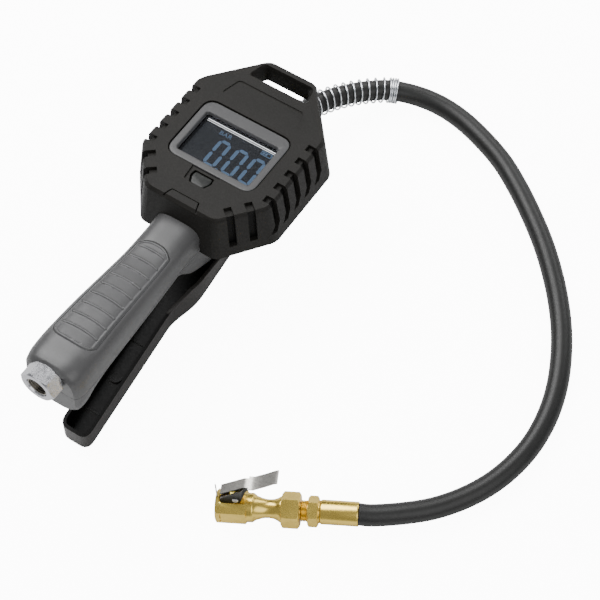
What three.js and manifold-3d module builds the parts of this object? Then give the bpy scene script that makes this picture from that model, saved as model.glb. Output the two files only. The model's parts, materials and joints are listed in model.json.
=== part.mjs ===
// Digital tyre inflator: a gauge head in a rubber boot, a two-shell handle with a squeeze lever,
// and a hose with a clip-on tyre chuck. Millimetres, +Z up, lying on a table.
import * as THREE from 'three';
import { mergeVertices } from 'three/addons/utils/BufferGeometryUtils.js';
import Module from 'manifold-3d';

const wasm = await Module();
wasm.setup();

// ---------------------------------------------------------------- driving dimensions
// Tool frame: x across the gauge, y along the tool from the air inlet to the hanging loop,
// z out of the gauge face, which is z = 0.
const CLEAR = 0.3; // gap between seated pieces
const RUN = 0.08; // radial running clearance on the pivots
const SEAM = 0.2; // gap along a moulded seam
const TILT = THREE.MathUtils.degToRad(8.5); // the tool lies on the lever tip and the battery door

// rubber boot, an octagon that flares towards the back
const BOOT_TOP = { half: 15.5, y: 102.1 };
const BOOT_SIDE = { half: 42.3, yHigh: 70.2, yLow: 15.1 };
const BOOT_FOOT = { half: 22.8, y: -9.1 };
const BOOT_DEPTH = 29;
const BOOT_FLARE = 4.4;
const BOOT_WALL = 3;
const BOOT_SKIN = 2.6;
const BOOT_CORNER = 3;
const HOUSING_FIT = 0.45; // gap between the boot and the gauge housings
const GROOVE = { count: 5, pitch: 10.4, yFirst: 19.2, width: 3.8, depth: 2.4, face: 1.8, faceX: 36, footZ: -22 };
const LOOP = { yLow: 87.4, yHigh: 97.2, halfLow: 18.1, halfHigh: 14.8, thick: 12 };
const NOTCH_HALF = 9.6; // clip tab over the neck of the handle

// display
const BEZEL = { width: 57, height: 43, y: 38.4, corner: 5.5, thick: 2.2, proud: -0.4 };
const WINDOW = { width: 47.5, height: 30, y: 36.7, corner: 1.2 };
const LENS_LIP = 1.15;
const LENS_THICK = 1.7;
const GASKET_THICK = 0.6;
const LCD = { margin: 1.6, thick: 2.4 };
const LCD_FRAME = { margin: 4.2, thick: 2.5 };
const BOARD = { width: 62, height: 50, y: 41, thick: 1.5, z: -13.2, tongue: 9, tongueLow: 4 };
const HOUSING_SKIN = 2.5;
const HOUSING_WALL = 2.2;
const HOUSING_SPLIT = -14;
const HOUSING_BACK = -28.6;
const GAUGE_SCREW = { x: 35.6, yHigh: 60.5, yLow: 22.5, shank: 1.3, length: 18, head: 2.5, headThick: 1.8 };
const BUTTON = { y: 10.2, top: 5.6, foot: 2.9, height: 8.4, z: -1.2, thick: 4.2, travel: 0.8 };
const SWITCH = { size: 6, thick: 3.4, plunger: 1.6 };

// handle: y, half width, top z, bottom z of each section
const HANDLE = [
  { y: 15, half: 14.6, top: -13.6, bottom: -33.5 },
  { y: -10, half: 14.5, top: -13.6, bottom: -33.5 },
  { y: -25, half: 14.5, top: -14.0, bottom: -34.2 },
  { y: -42, half: 15.0, top: -13.9, bottom: -36.0 },
  { y: -60, half: 16.0, top: -12.2, bottom: -36.4 },
  { y: -80, half: 17.2, top: -10.4, bottom: -36.0 },
  { y: -100, half: 18.0, top: -9.2, bottom: -36.4 },
  { y: -112, half: 18.3, top: -8.4, bottom: -39.4 },
  { y: -120, half: 18.2, top: -8.3, bottom: -44.6 },
  { y: -125, half: 17.2, top: -9.4, bottom: -45.6 },
  { y: -127, half: 15.4, top: -11.2, bottom: -43.6 },
];
const HANDLE_WALL = 2.4;
const HANDLE_POWER = 3.2; // superellipse exponent of the sections
const HANDLE_SIDES = 32;
const SEAM_Z = -27.5; // parting plane between the two handle shells
const PAD = { yHigh: -30.5, yLow: -108, halfHigh: 10.6, halfLow: 13.4, corner: 5, proud: 0.5, sunk: 0.9 };
const RIBS = { count: 9, yFirst: -36.5, pitch: 7.9, width: 1.1, depth: 0.8 };
const BODY_SCREW = { x: 8.6, y: [-36, -98], shank: 1.3, head: 2.6, headThick: 2, length: 17, sunk: 0.4, post: 2.9 };

// air path
const INLET = { z: -15.4, flats: 19, hexLength: 9.7, end: -137, bore: 5.9, boreDepth: 8.6, mouth: 6.7, filter: 1.6 };
const INLET_SHANK = { radius: 4.9, end: -108 };
const PASSAGE = 2.6;
const TUBE = { outer: 4, inner: 2.5 };
const BLOCK = { half: 9.4, yLow: 3, yStep: 15, yHigh: 62, top: -19, step: -32.4, bottom: -50 };
const INFLATE = { y: 14, radius: 2.4, bore: 3.8, wire: 0.6 };
const BLEED = { y: 23, radius: 1.8, bore: 3.0, wire: 0.5 };
const STEM = { tip: -57, seat: -44, seal: 2, head: 1.6, chamberTop: -33.8, guide: 0.25 };
const OUTLET = { z: -42, radius: 5.6, flats: 14, yHex: 88.4, yEnd: 93 };
const SENSOR = { y: 54, width: 12, height: 9, thick: 7, tube: 2.2 };

// valve boss and battery hump behind the head
const BOSS_HALF = 12.3;
const BOSS_WALL = 2.4;
const HUMP = { half: 17, yLow: 39, yStep: 83.8, yHigh: 88, wall: 2.1, top: -28.9, door: 2.2 };
const CELL = { radius: 5.1, length: 44, x: 6.3, z: -62.4 };

// squeeze lever
const PIVOT = { y: 31, z: -51.5, radius: 2 };
const LEVER_TIP = { y: -118.6, z: -101.2 };
const LEVER = { half: 9.5, earHalf: 15.4, wall: 2, floor: 2.2, depth: 12, corner: 5, front: 38 };

// hose and chuck
const HOSE_RADIUS = 6.2;
const GUARD = { inner: 6.65, wire: 0.55, turns: 15, collar: 4, collarPitch: 1.35, length: 78 };
const CHUCK = {
  heading: THREE.MathUtils.degToRad(-152.2), height: 9.6, ferrule: 6.7, ferruleLength: 20.5,
  tailFlats: 14.8, tailHex: 5.7, neck: 5.9, neckLength: 4.2, flats: 17.3, hexLength: 10,
  waist: 5.1, collarRadius: 8.0, waistLength: 18.4, noseFlats: 15.9, noseLength: 17.2, mouth: 4.3,
  roll: THREE.MathUtils.degToRad(13), ledge: 7.3, frontRing: 2.2,
};
// distances back from the nose face, heights above the chuck axis
const CLIP = {
  pinBack: 11.4, pinUp: 10.8, pin: 1.1, ear: 3.0, tail: 4.2, sheet: 0.8, claw: 2.0, clawBack: 4.2, clawUp: 3.4,
  plate: [[3.6, 15.6], [16.6, 23.0], [22.2, 23.3], [35.6, 30.9]],
  cheek: [[2.9, 7.6], [8.1, 7.6], [13.9, 8.75], [17.8, 20], [21.5, 23.4], [17.2, 23.4], [15.8, 19.4], [3.7, 12.6], [2.9, 10.5]],
};

// ---------------------------------------------------------------- solids
function toSolid(geometry) {
  const bare = geometry.clone();
  bare.deleteAttribute('normal');
  bare.deleteAttribute('uv');
  const merged = mergeVertices(bare, 1e-4);
  const vertProperties = Float32Array.from(merged.attributes.position.array);
  const triVerts = Uint32Array.from(merged.index.array);
  return new wasm.Manifold(new wasm.Mesh({ numProp: 3, vertProperties, triVerts }));
}

function toGeometry(solid) {
  const mesh = solid.getMesh();
  const geometry = new THREE.BufferGeometry();
  const points = new Float32Array(mesh.numVert * 3);
  for (let i = 0; i < mesh.numVert; i += 1) {
    for (let k = 0; k < 3; k += 1) points[i * 3 + k] = mesh.vertProperties[i * mesh.numProp + k];
  }
  geometry.setAttribute('position', new THREE.BufferAttribute(points, 3));
  geometry.setIndex(new THREE.BufferAttribute(Uint32Array.from(mesh.triVerts), 1));
  geometry.computeVertexNormals();
  return geometry;
}

const union = (first, ...rest) => rest.reduce((sum, next) => sum.add(next), first);
const cut = (first, ...rest) => rest.reduce((sum, next) => sum.subtract(next), first);

function box(x0, x1, y0, y1, z0, z1) {
  const geometry = new THREE.BoxGeometry(x1 - x0, y1 - y0, z1 - z0);
  geometry.translate((x0 + x1) / 2, (y0 + y1) / 2, (z0 + z1) / 2);
  return toSolid(geometry);
}

// A cylinder or prism along one axis from low to high, centred on the other two coordinates.
function rod(axis, low, high, a, b, radius, sides = 24, phase = 0) {
  const geometry = new THREE.CylinderGeometry(radius, radius, high - low, sides);
  geometry.rotateY(phase);
  const middle = (low + high) / 2;
  if (axis === 'y') geometry.translate(a, middle, b);
  if (axis === 'z') {
    geometry.rotateX(Math.PI / 2);
    geometry.translate(a, b, middle);
  }
  if (axis === 'x') {
    geometry.rotateZ(-Math.PI / 2);
    geometry.translate(middle, a, b);
  }
  return toSolid(geometry);
}

const hexRadius = (flats) => flats / Math.sqrt(3);

// A turned solid from a closed profile of [radius, along] points, along +z.
function turned(profile, sides = 28) {
  return new THREE.LatheGeometry(profile.map(([r, z]) => new THREE.Vector2(r, z)), sides).rotateX(Math.PI / 2);
}

// The upper face of a plate shape drawn in x and y, from z0 up to z1.
function plate(shape, z0, z1) {
  const geometry = new THREE.ExtrudeGeometry(shape, { depth: z1 - z0, bevelEnabled: false, curveSegments: 4 });
  geometry.translate(0, 0, z0);
  return toSolid(geometry);
}

// A solid with a side outline of [y, z] points, from x0 to x1.
function sideways(outline, x0, x1) {
  const shape = new THREE.Shape(outline.map(([y, z]) => new THREE.Vector2(y, z)));
  const geometry = new THREE.ExtrudeGeometry(shape, { depth: x1 - x0, bevelEnabled: false });
  geometry.applyMatrix4(new THREE.Matrix4().makeBasis(
    new THREE.Vector3(0, 1, 0),
    new THREE.Vector3(0, 0, 1),
    new THREE.Vector3(1, 0, 0),
  ));
  geometry.translate(x0, 0, 0);
  return toSolid(geometry);
}

function roundedRect(width, height, y, corner) {
  const shape = new THREE.Shape();
  const w = width / 2;
  const h = height / 2;
  shape.moveTo(-w + corner, y - h);
  shape.lineTo(w - corner, y - h);
  shape.absarc(w - corner, y - h + corner, corner, -Math.PI / 2, 0);
  shape.absarc(w - corner, y + h - corner, corner, 0, Math.PI / 2);
  shape.absarc(-w + corner, y + h - corner, corner, Math.PI / 2, Math.PI);
  shape.absarc(-w + corner, y - h + corner, corner, Math.PI, Math.PI * 1.5);
  return shape;
}

// A polygon with each corner rounded by an arc-like curve; always steps + 1 points per corner.
function roundPoints(points, radius, steps = 3) {
  const result = [];
  points.forEach((corner, i) => {
    const before = points[(i + points.length - 1) % points.length];
    const after = points[(i + 1) % points.length];
    const from = corner.clone().lerp(before, Math.min(0.45, radius / corner.distanceTo(before)));
    const to = corner.clone().lerp(after, Math.min(0.45, radius / corner.distanceTo(after)));
    for (let k = 0; k <= steps; k += 1) {
      const t = k / steps;
      const a = from.clone().lerp(corner, t);
      const b = corner.clone().lerp(to, t);
      result.push(a.lerp(b, t));
    }
  });
  return result;
}

// A closed skin through rings of equal length, with flat fan ends.
function loft(rings) {
  const size = rings[0].length;
  const positions = [];
  const index = [];
  rings.forEach((ring) => ring.forEach((p) => positions.push(p.x, p.y, p.z)));
  for (let r = 0; r < rings.length - 1; r += 1) {
    for (let i = 0; i < size; i += 1) {
      const j = (i + 1) % size;
      const a = r * size + i;
      const b = r * size + j;
      index.push(a, b, b + size, a, b + size, a + size);
    }
  }
  [[0, true], [rings.length - 1, false]].forEach(([r, first]) => {
    const centre = positions.length / 3;
    const mid = rings[r].reduce((sum, p) => sum.add(p), new THREE.Vector3()).divideScalar(size);
    positions.push(mid.x, mid.y, mid.z);
    for (let i = 0; i < size; i += 1) {
      const a = r * size + i;
      const b = r * size + ((i + 1) % size);
      if (first) index.push(centre, b, a);
      else index.push(centre, a, b);
    }
  });
  const geometry = new THREE.BufferGeometry();
  geometry.setAttribute('position', new THREE.Float32BufferAttribute(positions, 3));
  geometry.setIndex(index);
  const solid = toSolid(geometry);
  if (solid.volume() > 0) return solid;
  geometry.setIndex(index.map((v, i) => index[i - (i % 3) + [0, 2, 1][i % 3]]));
  return toSolid(geometry);
}

// ---------------------------------------------------------------- materials and placing
const FINISHES = {
  boot: [0x35322f, 0.85, 0],
  grey: [0x7c7c7e, 0.5, 0],
  pad: [0x76767a, 0.62, 0],
  black: [0x242322, 0.6, 0],
  bezel: [0x77777a, 0.45, 0],
  glass: [0x0b0d10, 0.08, 0],
  lcd: [0x10141a, 0.25, 0],
  board: [0x1f5a35, 0.6, 0],
  rubber: [0x1b1b1b, 0.8, 0],
  hose: [0x222221, 0.7, 0],
  zinc: [0xc9ccd0, 0.3, 1],
  alloy: [0xd2d3d4, 0.35, 1],
  brass: [0xc9a75c, 0.32, 1],
  steel: [0xa9a7a3, 0.35, 1],
  cell: [0x6d4f2b, 0.4, 0],
};
const finish = Object.fromEntries(Object.entries(FINISHES).map(([name, [color, roughness, metalness]]) => (
  [name, { color, roughness, metalness, side: THREE.FrontSide }]
)));

const group = new THREE.Group();
const tool = new THREE.Group();
const chuck = new THREE.Group();
group.add(tool);

function add(name, shape, look, parent = tool) {
  const geometry = shape.isBufferGeometry ? shape : toGeometry(shape);
  const mesh = new THREE.Mesh(geometry, new THREE.MeshStandardMaterial(finish[look]));
  mesh.name = name;
  parent.add(mesh);
  return mesh;
}

// ---------------------------------------------------------------- rubber boot
// The octagon at depth z behind the face, pulled in by inset.
function octagon(z, inset) {
  const grow = (BOOT_FLARE * -z) / BOOT_DEPTH - inset;
  const slopeGrow = grow * 0.9;
  const corners = [
    [BOOT_TOP.half + slopeGrow * 0.4, BOOT_TOP.y + slopeGrow * 0.3 - inset * 0.7],
    [-BOOT_TOP.half - slopeGrow * 0.4, BOOT_TOP.y + slopeGrow * 0.3 - inset * 0.7],
    [-BOOT_SIDE.half - grow, BOOT_SIDE.yHigh],
    [-BOOT_SIDE.half - grow, BOOT_SIDE.yLow],
    [-BOOT_FOOT.half - slopeGrow * 0.6, BOOT_FOOT.y - grow],
    [BOOT_FOOT.half + slopeGrow * 0.6, BOOT_FOOT.y - grow],
    [BOOT_SIDE.half + grow, BOOT_SIDE.yLow],
    [BOOT_SIDE.half + grow, BOOT_SIDE.yHigh],
  ].map(([x, y]) => new THREE.Vector2(x, y));
  return roundPoints(corners, BOOT_CORNER).map((p) => new THREE.Vector3(p.x, p.y, z));
}

const octagonBlock = (zFront, zBack, inset) => loft([octagon(zFront, inset), octagon(zBack, inset)]);

// A slot across the edge of the face and down the wall, as deep everywhere as the block leaves it.
const grooveFloor = loft([octagon(-GROOVE.face, GROOVE.depth), octagon(-BOOT_DEPTH, GROOVE.depth)]);

function groove(side, y) {
  const w = GROOVE.width / 2;
  const outer = BOOT_SIDE.half + BOOT_FLARE + 2;
  const slot = box(side > 0 ? GROOVE.faceX : -outer, side > 0 ? outer : -GROOVE.faceX, y - w, y + w, GROOVE.footZ, 1);
  return slot.subtract(grooveFloor);
}

// Two more slots on each lower slope, square to its edge.
function footGroove(side, t) {
  const x = THREE.MathUtils.lerp(BOOT_FOOT.half, BOOT_SIDE.half, t);
  const y = THREE.MathUtils.lerp(BOOT_FOOT.y, BOOT_SIDE.yLow, t);
  const slope = Math.atan2(BOOT_SIDE.half - BOOT_FOOT.half, BOOT_SIDE.yLow - BOOT_FOOT.y);
  const geometry = new THREE.BoxGeometry(GROOVE.width, 15, 1 - GROOVE.footZ);
  geometry.rotateZ(side * (Math.PI / 2 - slope));
  geometry.translate(side * x, y, (1 + GROOVE.footZ) / 2);
  return toSolid(geometry).subtract(grooveFloor);
}

function handleRing({ y, half, top, bottom }, grow) {
  const ring = [];
  const a = half + grow;
  const b = (top - bottom) / 2 + grow;
  const z = (top + bottom) / 2;
  for (let i = 0; i < HANDLE_SIDES; i += 1) {
    const angle = (i / HANDLE_SIDES) * Math.PI * 2;
    const c = Math.cos(angle);
    const s = Math.sin(angle);
    const px = Math.sign(c) * Math.abs(c) ** (2 / HANDLE_POWER) * a;
    const pz = Math.sign(s) * Math.abs(s) ** (2 / HANDLE_POWER) * b;
    ring.push(new THREE.Vector3(px, y, z + pz));
  }
  return ring;
}

function handleLoft(grow, stretch = 0) {
  const last = HANDLE.length - 1;
  return loft(HANDLE.map((section, i) => {
    let { y } = section;
    if (i === 0) y += stretch;
    if (i === last) y -= grow;
    return handleRing({ ...section, y }, grow);
  }));
}

function boot() {
  const shell = loft([octagon(0, 1.2), octagon(-1.6, -0.1), octagon(-BOOT_DEPTH, 0)]);
  const hollowTop = LOOP.yLow - BOOT_WALL;
  const hollow = octagonBlock(-BOOT_SKIN, -BOOT_DEPTH - 2, BOOT_WALL)
    .intersect(box(-60, 60, -40, hollowTop, -BOOT_DEPTH - 3, 0));
  const opening = plate(roundedRect(BEZEL.width + CLEAR, BEZEL.height + CLEAR, BEZEL.y, BEZEL.corner), -5, 2);
  const keyHole = plate(buttonShape(1.1), -5, 2);
  const loopShape = new THREE.Shape(roundPoints([
    new THREE.Vector2(-LOOP.halfLow, LOOP.yLow),
    new THREE.Vector2(LOOP.halfLow, LOOP.yLow),
    new THREE.Vector2(LOOP.halfHigh, LOOP.yHigh),
    new THREE.Vector2(-LOOP.halfHigh, LOOP.yHigh),
  ], 2.4));
  const loop = plate(loopShape, -BOOT_DEPTH - 2, 2);
  const behindLoop = box(-60, 60, LOOP.yLow, 120, -BOOT_DEPTH - 3, -LOOP.thick);
  const neck = handleLoft(CLEAR, 20).intersect(box(-40, 40, -30, 40, -60, 0));
  const neckBack = box(-14.9, 14.9, -30, BOOT_FOOT.y + 8, -BOOT_DEPTH - 3, -24);
  let solid = cut(shell, hollow, opening, keyHole, loop, behindLoop, neck, neckBack);
  for (let i = 0; i < GROOVE.count; i += 1) {
    const y = GROOVE.yFirst + i * GROOVE.pitch;
    solid = cut(solid, groove(1, y), groove(-1, y));
  }
  [0.3, 0.68].forEach((t) => {
    solid = cut(solid, footGroove(1, t), footGroove(-1, t));
  });
  return solid;
}

// ---------------------------------------------------------------- display stack
function buttonShape(grow) {
  const h = BUTTON.height / 2 + grow;
  return new THREE.Shape(roundPoints([
    new THREE.Vector2(-BUTTON.foot - grow, BUTTON.y - h),
    new THREE.Vector2(BUTTON.foot + grow, BUTTON.y - h),
    new THREE.Vector2(BUTTON.top + grow, BUTTON.y + h),
    new THREE.Vector2(-BUTTON.top - grow, BUTTON.y + h),
  ], 1));
}

function framed(outer, inner, z0, z1) {
  outer.holes.push(new THREE.Path(inner.getPoints(4).reverse()));
  return plate(outer, z0, z1);
}

const bezelBack = BEZEL.proud - BEZEL.thick;
const housingFront = bezelBack - CLEAR;
const lensBack = housingFront - LENS_THICK;
const gasketBack = lensBack - CLEAR / 2 - GASKET_THICK;
const skinBack = housingFront - HOUSING_SKIN;
const lcdFront = Math.min(skinBack, gasketBack) - CLEAR;
const lcdBack = lcdFront - LCD.thick;

function rim(margin, y = WINDOW.y) {
  return roundedRect(WINDOW.width + 2 * margin, WINDOW.height + 2 * margin, y, WINDOW.corner);
}

function screwPosts(radius, z0, z1) {
  return [1, -1].flatMap((side) => [GAUGE_SCREW.yHigh, GAUGE_SCREW.yLow].map((y) => (
    rod('z', z0, z1, side * GAUGE_SCREW.x, y, radius, 16)
  )));
}

const neckRoom = box(-16.2, 16.2, -30, HANDLE[0].y + CLEAR * 2, -60, -11.2);

function frontHousing() {
  const outer = octagonBlock(housingFront, HOUSING_SPLIT, BOOT_WALL + HOUSING_FIT);
  const inner = octagonBlock(skinBack, HOUSING_SPLIT - 1, BOOT_WALL + HOUSING_FIT + HOUSING_WALL);
  const top = box(-60, 60, LOOP.yLow - BOOT_WALL - CLEAR, 120, -40, 2);
  const innerTop = box(-60, 60, LOOP.yLow - BOOT_WALL - CLEAR - HOUSING_WALL, 120, -40, 2);
  let solid = cut(outer.subtract(top), inner.subtract(innerTop));
  solid = union(solid, ...screwPosts(2.9, HOUSING_SPLIT, skinBack + 0.5));
  solid = cut(solid, plate(rim(LENS_LIP + CLEAR), -20, 2), plate(buttonShape(CLEAR), -20, 2), neckRoom);
  return cut(solid, ...screwPosts(GAUGE_SCREW.shank + 0.15, HOUSING_SPLIT - 1, -6.2));
}

function rearHousing() {
  const front = HOUSING_SPLIT - SEAM;
  const back = HOUSING_BACK;
  const outer = octagonBlock(front, back, BOOT_WALL + HOUSING_FIT);
  const inner = octagonBlock(front + 1, back + HOUSING_WALL, BOOT_WALL + HOUSING_FIT + HOUSING_WALL);
  const top = box(-60, 60, LOOP.yLow - BOOT_WALL - CLEAR, 120, -40, 2);
  const innerTop = box(-60, 60, LOOP.yLow - BOOT_WALL - CLEAR - HOUSING_WALL, 120, -40, 2);
  let solid = cut(outer.subtract(top), inner.subtract(innerTop));
  solid = union(solid, ...screwPosts(2.9, back, front));
  solid = cut(solid, neckRoom, rod('z', -40, -20, 0, SENSOR.y, SENSOR.tube + CLEAR));
  solid = cut(solid, ...screwPosts(GAUGE_SCREW.shank + 0.2, back - 1, front + 1));
  return cut(solid, ...screwPosts(GAUGE_SCREW.head + 0.2, back - 1, back + GAUGE_SCREW.headThick + 0.1));
}

function displayStack() {
  add('boot', boot(), 'boot');
  const bezelHole = roundedRect(WINDOW.width, WINDOW.height, WINDOW.y, WINDOW.corner);
  const bezelPlate = roundedRect(BEZEL.width, BEZEL.height, BEZEL.y, BEZEL.corner);
  add('bezel', framed(bezelPlate, bezelHole, bezelBack, BEZEL.proud), 'bezel');
  add('lens', plate(rim(LENS_LIP), lensBack, housingFront), 'glass');
  add('lens_gasket', framed(rim(LENS_LIP), rim(0.1), gasketBack, lensBack - CLEAR / 2), 'rubber');
  add('lcd_panel', plate(rim(LCD.margin), lcdBack, lcdFront), 'lcd');
  const frameBack = lcdBack - CLEAR - LCD_FRAME.thick;
  add('lcd_frame', framed(rim(LCD_FRAME.margin), rim(-3), frameBack, lcdBack - CLEAR), 'bezel');
  add('gauge_front_housing', frontHousing(), 'black');
  add('gauge_rear_housing', rearHousing(), 'black');
  const boardShape = roundedRect(BOARD.width, BOARD.height, BOARD.y, 3);
  const boardFront = BOARD.z + BOARD.thick;
  const tongue = box(-BOARD.tongue, BOARD.tongue, BOARD.tongueLow, BOARD.y, BOARD.z, boardFront);
  add('circuit_board', plate(boardShape, BOARD.z, boardFront).add(tongue), 'board');
  const key = plate(buttonShape(0), BUTTON.z - BUTTON.thick, BUTTON.z);
  add('button', key, 'black');
  const half = SWITCH.size / 2;
  const switchBase = boardFront + 0.1;
  const can = box(-half, half, BUTTON.y - half, BUTTON.y + half, switchBase, switchBase + SWITCH.thick);
  const plungerTop = BUTTON.z - BUTTON.thick - BUTTON.travel - CLEAR / 2;
  const plunger = rod('z', switchBase + 1, plungerTop, 0, BUTTON.y, SWITCH.plunger, 16);
  add('button_switch', can.add(plunger), 'black');
  const s = SENSOR;
  const sensorTop = BOARD.z - 0.15;
  const low = s.y - s.height / 2;
  const high = s.y + s.height / 2;
  add('pressure_sensor', box(-s.width / 2, s.width / 2, low, high, sensorTop - s.thick, sensorTop), 'steel');
  add('sensor_tube', cut(
    rod('z', BLOCK.step + CLEAR, sensorTop - s.thick - CLEAR, 0, s.y, s.tube, 16),
    rod('z', -60, 0, 0, s.y, s.tube - 1, 12),
  ), 'rubber');
  let n = 1;
  [1, -1].forEach((side) => [GAUGE_SCREW.yHigh, GAUGE_SCREW.yLow].forEach((y) => {
    const x = side * GAUGE_SCREW.x;
    const g = GAUGE_SCREW;
    const headBack = HOUSING_BACK + 0.1;
    const shank = rod('z', headBack, headBack + g.length, x, y, g.shank, 12);
    const head = rod('z', headBack, headBack + g.headThick - 0.1, x, y, g.head, 16);
    const slot = box(x - 1.8, x + 1.8, y - 0.4, y + 0.4, headBack - 1, headBack + 0.8);
    const cross = box(x - 0.4, x + 0.4, y - 1.8, y + 1.8, headBack - 1, headBack + 0.8);
    add(`gauge_screw_${n}`, cut(shank.add(head), slot, cross), 'steel');
    n += 1;
  }));
}

// ---------------------------------------------------------------- handle and rear body
// The table as a height z for each y in the tool frame, through the lever tip.
const tableAt = (y) => LEVER_TIP.z + Math.tan(TILT) * (y - LEVER_TIP.y);

function padShape(grow) {
  return new THREE.Shape(roundPoints([
    new THREE.Vector2(-PAD.halfLow - grow, PAD.yLow - grow),
    new THREE.Vector2(PAD.halfLow + grow, PAD.yLow - grow),
    new THREE.Vector2(PAD.halfHigh + grow, PAD.yHigh + grow),
    new THREE.Vector2(-PAD.halfHigh - grow, PAD.yHigh + grow),
  ], PAD.corner));
}

const bodyScrewRods = (radius, z0, z1) => BODY_SCREW.y.flatMap((y) => [1, -1].map((side) => (
  rod('z', z0, z1, side * BODY_SCREW.x, y, radius, 16)
)));
const screwUnder = -36 + BODY_SCREW.headThick + BODY_SCREW.sunk; // underside of the screw heads

function frontShell() {
  const keep = box(-40, 40, -160, 60, SEAM_Z + SEAM / 2, 10);
  let solid = handleLoft(0).subtract(handleLoft(-HANDLE_WALL, 3)).intersect(keep);
  const posts = bodyScrewRods(BODY_SCREW.post, SEAM_Z + SEAM / 2, -10).map((post) => post.intersect(handleLoft(-1)));
  const holes = bodyScrewRods(BODY_SCREW.shank + 0.15, SEAM_Z, SEAM_Z + 8);
  const pocket = plate(padShape(CLEAR), SEAM_Z + 6, 10).subtract(handleLoft(-PAD.sunk - CLEAR));
  const inlet = rod('y', -160, -100, 0, INLET.z, INLET_SHANK.radius + CLEAR);
  solid = cut(union(solid, ...posts), pocket, inlet, ...holes);
  return solid;
}

function gripPad() {
  let solid = handleLoft(PAD.proud).subtract(handleLoft(-PAD.sunk)).intersect(plate(padShape(0), SEAM_Z + 8, 10));
  for (let i = 0; i < RIBS.count; i += 1) {
    const y = RIBS.yFirst - i * RIBS.pitch;
    const skin = handleLoft(PAD.proud + 1).subtract(handleLoft(PAD.proud - RIBS.depth));
    const half = PAD.halfHigh - 1.2 + (PAD.halfLow - PAD.halfHigh) * (i / RIBS.count);
    solid = solid.subtract(skin.intersect(box(-half, half, y - RIBS.width / 2, y + RIBS.width / 2, -30, 10)));
  }
  return solid;
}

const BOSS_SIDE = [
  [-24, -33], [-21, -46.5], [-11, -51], [-2, -55.2], [4, -56.6], [26, -56.6], [39.5, -51], [39.5, -29], [-10, -29],
];
const PIN_X = LEVER.earHalf + 1.4;

function rearShell() {
  const keep = box(-40, 40, -160, HANDLE[0].y, -60, SEAM_Z - SEAM / 2);
  const lower = handleLoft(0).intersect(keep);
  const boss = sideways(BOSS_SIDE, -BOSS_HALF, BOSS_HALF).intersect(box(-40, 40, -160, 60, -90, -29));
  const hump = sideways([
    [HUMP.yLow, HUMP.top], [HUMP.yStep, HUMP.top], [HUMP.yStep, -BOOT_DEPTH - CLEAR],
    [HUMP.yHigh, -BOOT_DEPTH - CLEAR], [HUMP.yHigh, tableAt(HUMP.yHigh)],
    [HUMP.yLow + 8, tableAt(HUMP.yLow + 8)], [HUMP.yLow, tableAt(HUMP.yLow) + 9],
  ], -HUMP.half, HUMP.half);
  const insideHandle = handleLoft(-HANDLE_WALL, -1);
  const bossRoom = BOSS_HALF - BOSS_WALL;
  const insideBoss = box(-bossRoom, bossRoom, BLOCK.yLow - 1.5, HUMP.yLow + 5, -90, -10);
  const w = HUMP.wall;
  const insideHump = box(-HUMP.half + w, HUMP.half - w, HUMP.yLow + w, HUMP.yHigh - w, -90, HUMP.top - w);
  const headNotch = box(-60, 60, HANDLE[0].y + 0.01, HUMP.yLow, HUMP.top, 0);
  let solid = union(lower, boss, hump);
  solid = cut(solid, insideHandle, insideBoss.subtract(box(-60, 60, HUMP.yLow - 1, 80, -33 + 4, 0)), insideHump);
  solid = cut(solid, headNotch, rod('y', HUMP.yHigh - 10, 200, 0, OUTLET.z, OUTLET.radius + CLEAR));
  solid = cut(solid, rod('y', -160, -100, 0, INLET.z, INLET_SHANK.radius + CLEAR));
  solid = cut(solid, rod('x', -60, 60, PIVOT.y, PIVOT.z, PIVOT.radius + 0.05));
  solid = cut(solid, rod('z', -40, -20, 0, SENSOR.y, SENSOR.tube + CLEAR));
  const posts = bodyScrewRods(BODY_SCREW.head + 1.5, -50, SEAM_Z - SEAM / 2).map((post) => post.intersect(handleLoft(-0.5)));
  solid = union(solid, ...posts);
  solid = cut(solid, ...bodyScrewRods(BODY_SCREW.shank + 0.2, -60, 0));
  return cut(solid, ...bodyScrewRods(BODY_SCREW.head + 0.2, -60, screwUnder));
}

function bodyScrews() {
  const { shank, head, headThick, length } = BODY_SCREW;
  let n = 1;
  BODY_SCREW.y.forEach((y) => [1, -1].forEach((side) => {
    const x = side * BODY_SCREW.x;
    const base = screwUnder - headThick;
    const stem = rod('z', base + 0.5, base + length - 8, x, y, shank, 12);
    const cap = rod('z', base, screwUnder - 0.05, x, y, head, 16);
    const slot = box(x - 1.8, x + 1.8, y - 0.4, y + 0.4, base - 1, base + 0.8);
    const cross = box(x - 0.4, x + 0.4, y - 1.8, y + 1.8, base - 1, base + 0.8);
    add(`body_screw_${n}`, cut(stem.add(cap), slot, cross), 'steel');
    n += 1;
  }));
}

function batteryDoor() {
  const w = HUMP.wall + CLEAR;
  const y0 = HUMP.yLow + 8;
  const y1 = HUMP.yHigh - w;
  const door = sideways([
    [y0, tableAt(y0)], [y1, tableAt(y1)], [y1, tableAt(y1) + HUMP.door], [y0, tableAt(y0) + HUMP.door],
  ], -HUMP.half + w, HUMP.half - w);
  return door;
}

function body() {
  add('body_front_shell', frontShell(), 'grey');
  add('grip_pad', gripPad(), 'pad');
  add('body_rear_shell', rearShell(), 'grey');
  bodyScrews();
  add('battery_door', batteryDoor(), 'black');
  [1, -1].forEach((side, i) => {
    const y0 = HUMP.yLow + HUMP.wall + CLEAR;
    const cell = rod('y', y0, y0 + CELL.length - 1.2, side * CELL.x, CELL.z, CELL.radius, 20);
    const nub = rod('y', y0 + CELL.length - 1.3, y0 + CELL.length, side * CELL.x, CELL.z, 1.8, 12);
    add(`battery_${i + 1}`, cell.add(nub), 'cell');
  });
}

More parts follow.
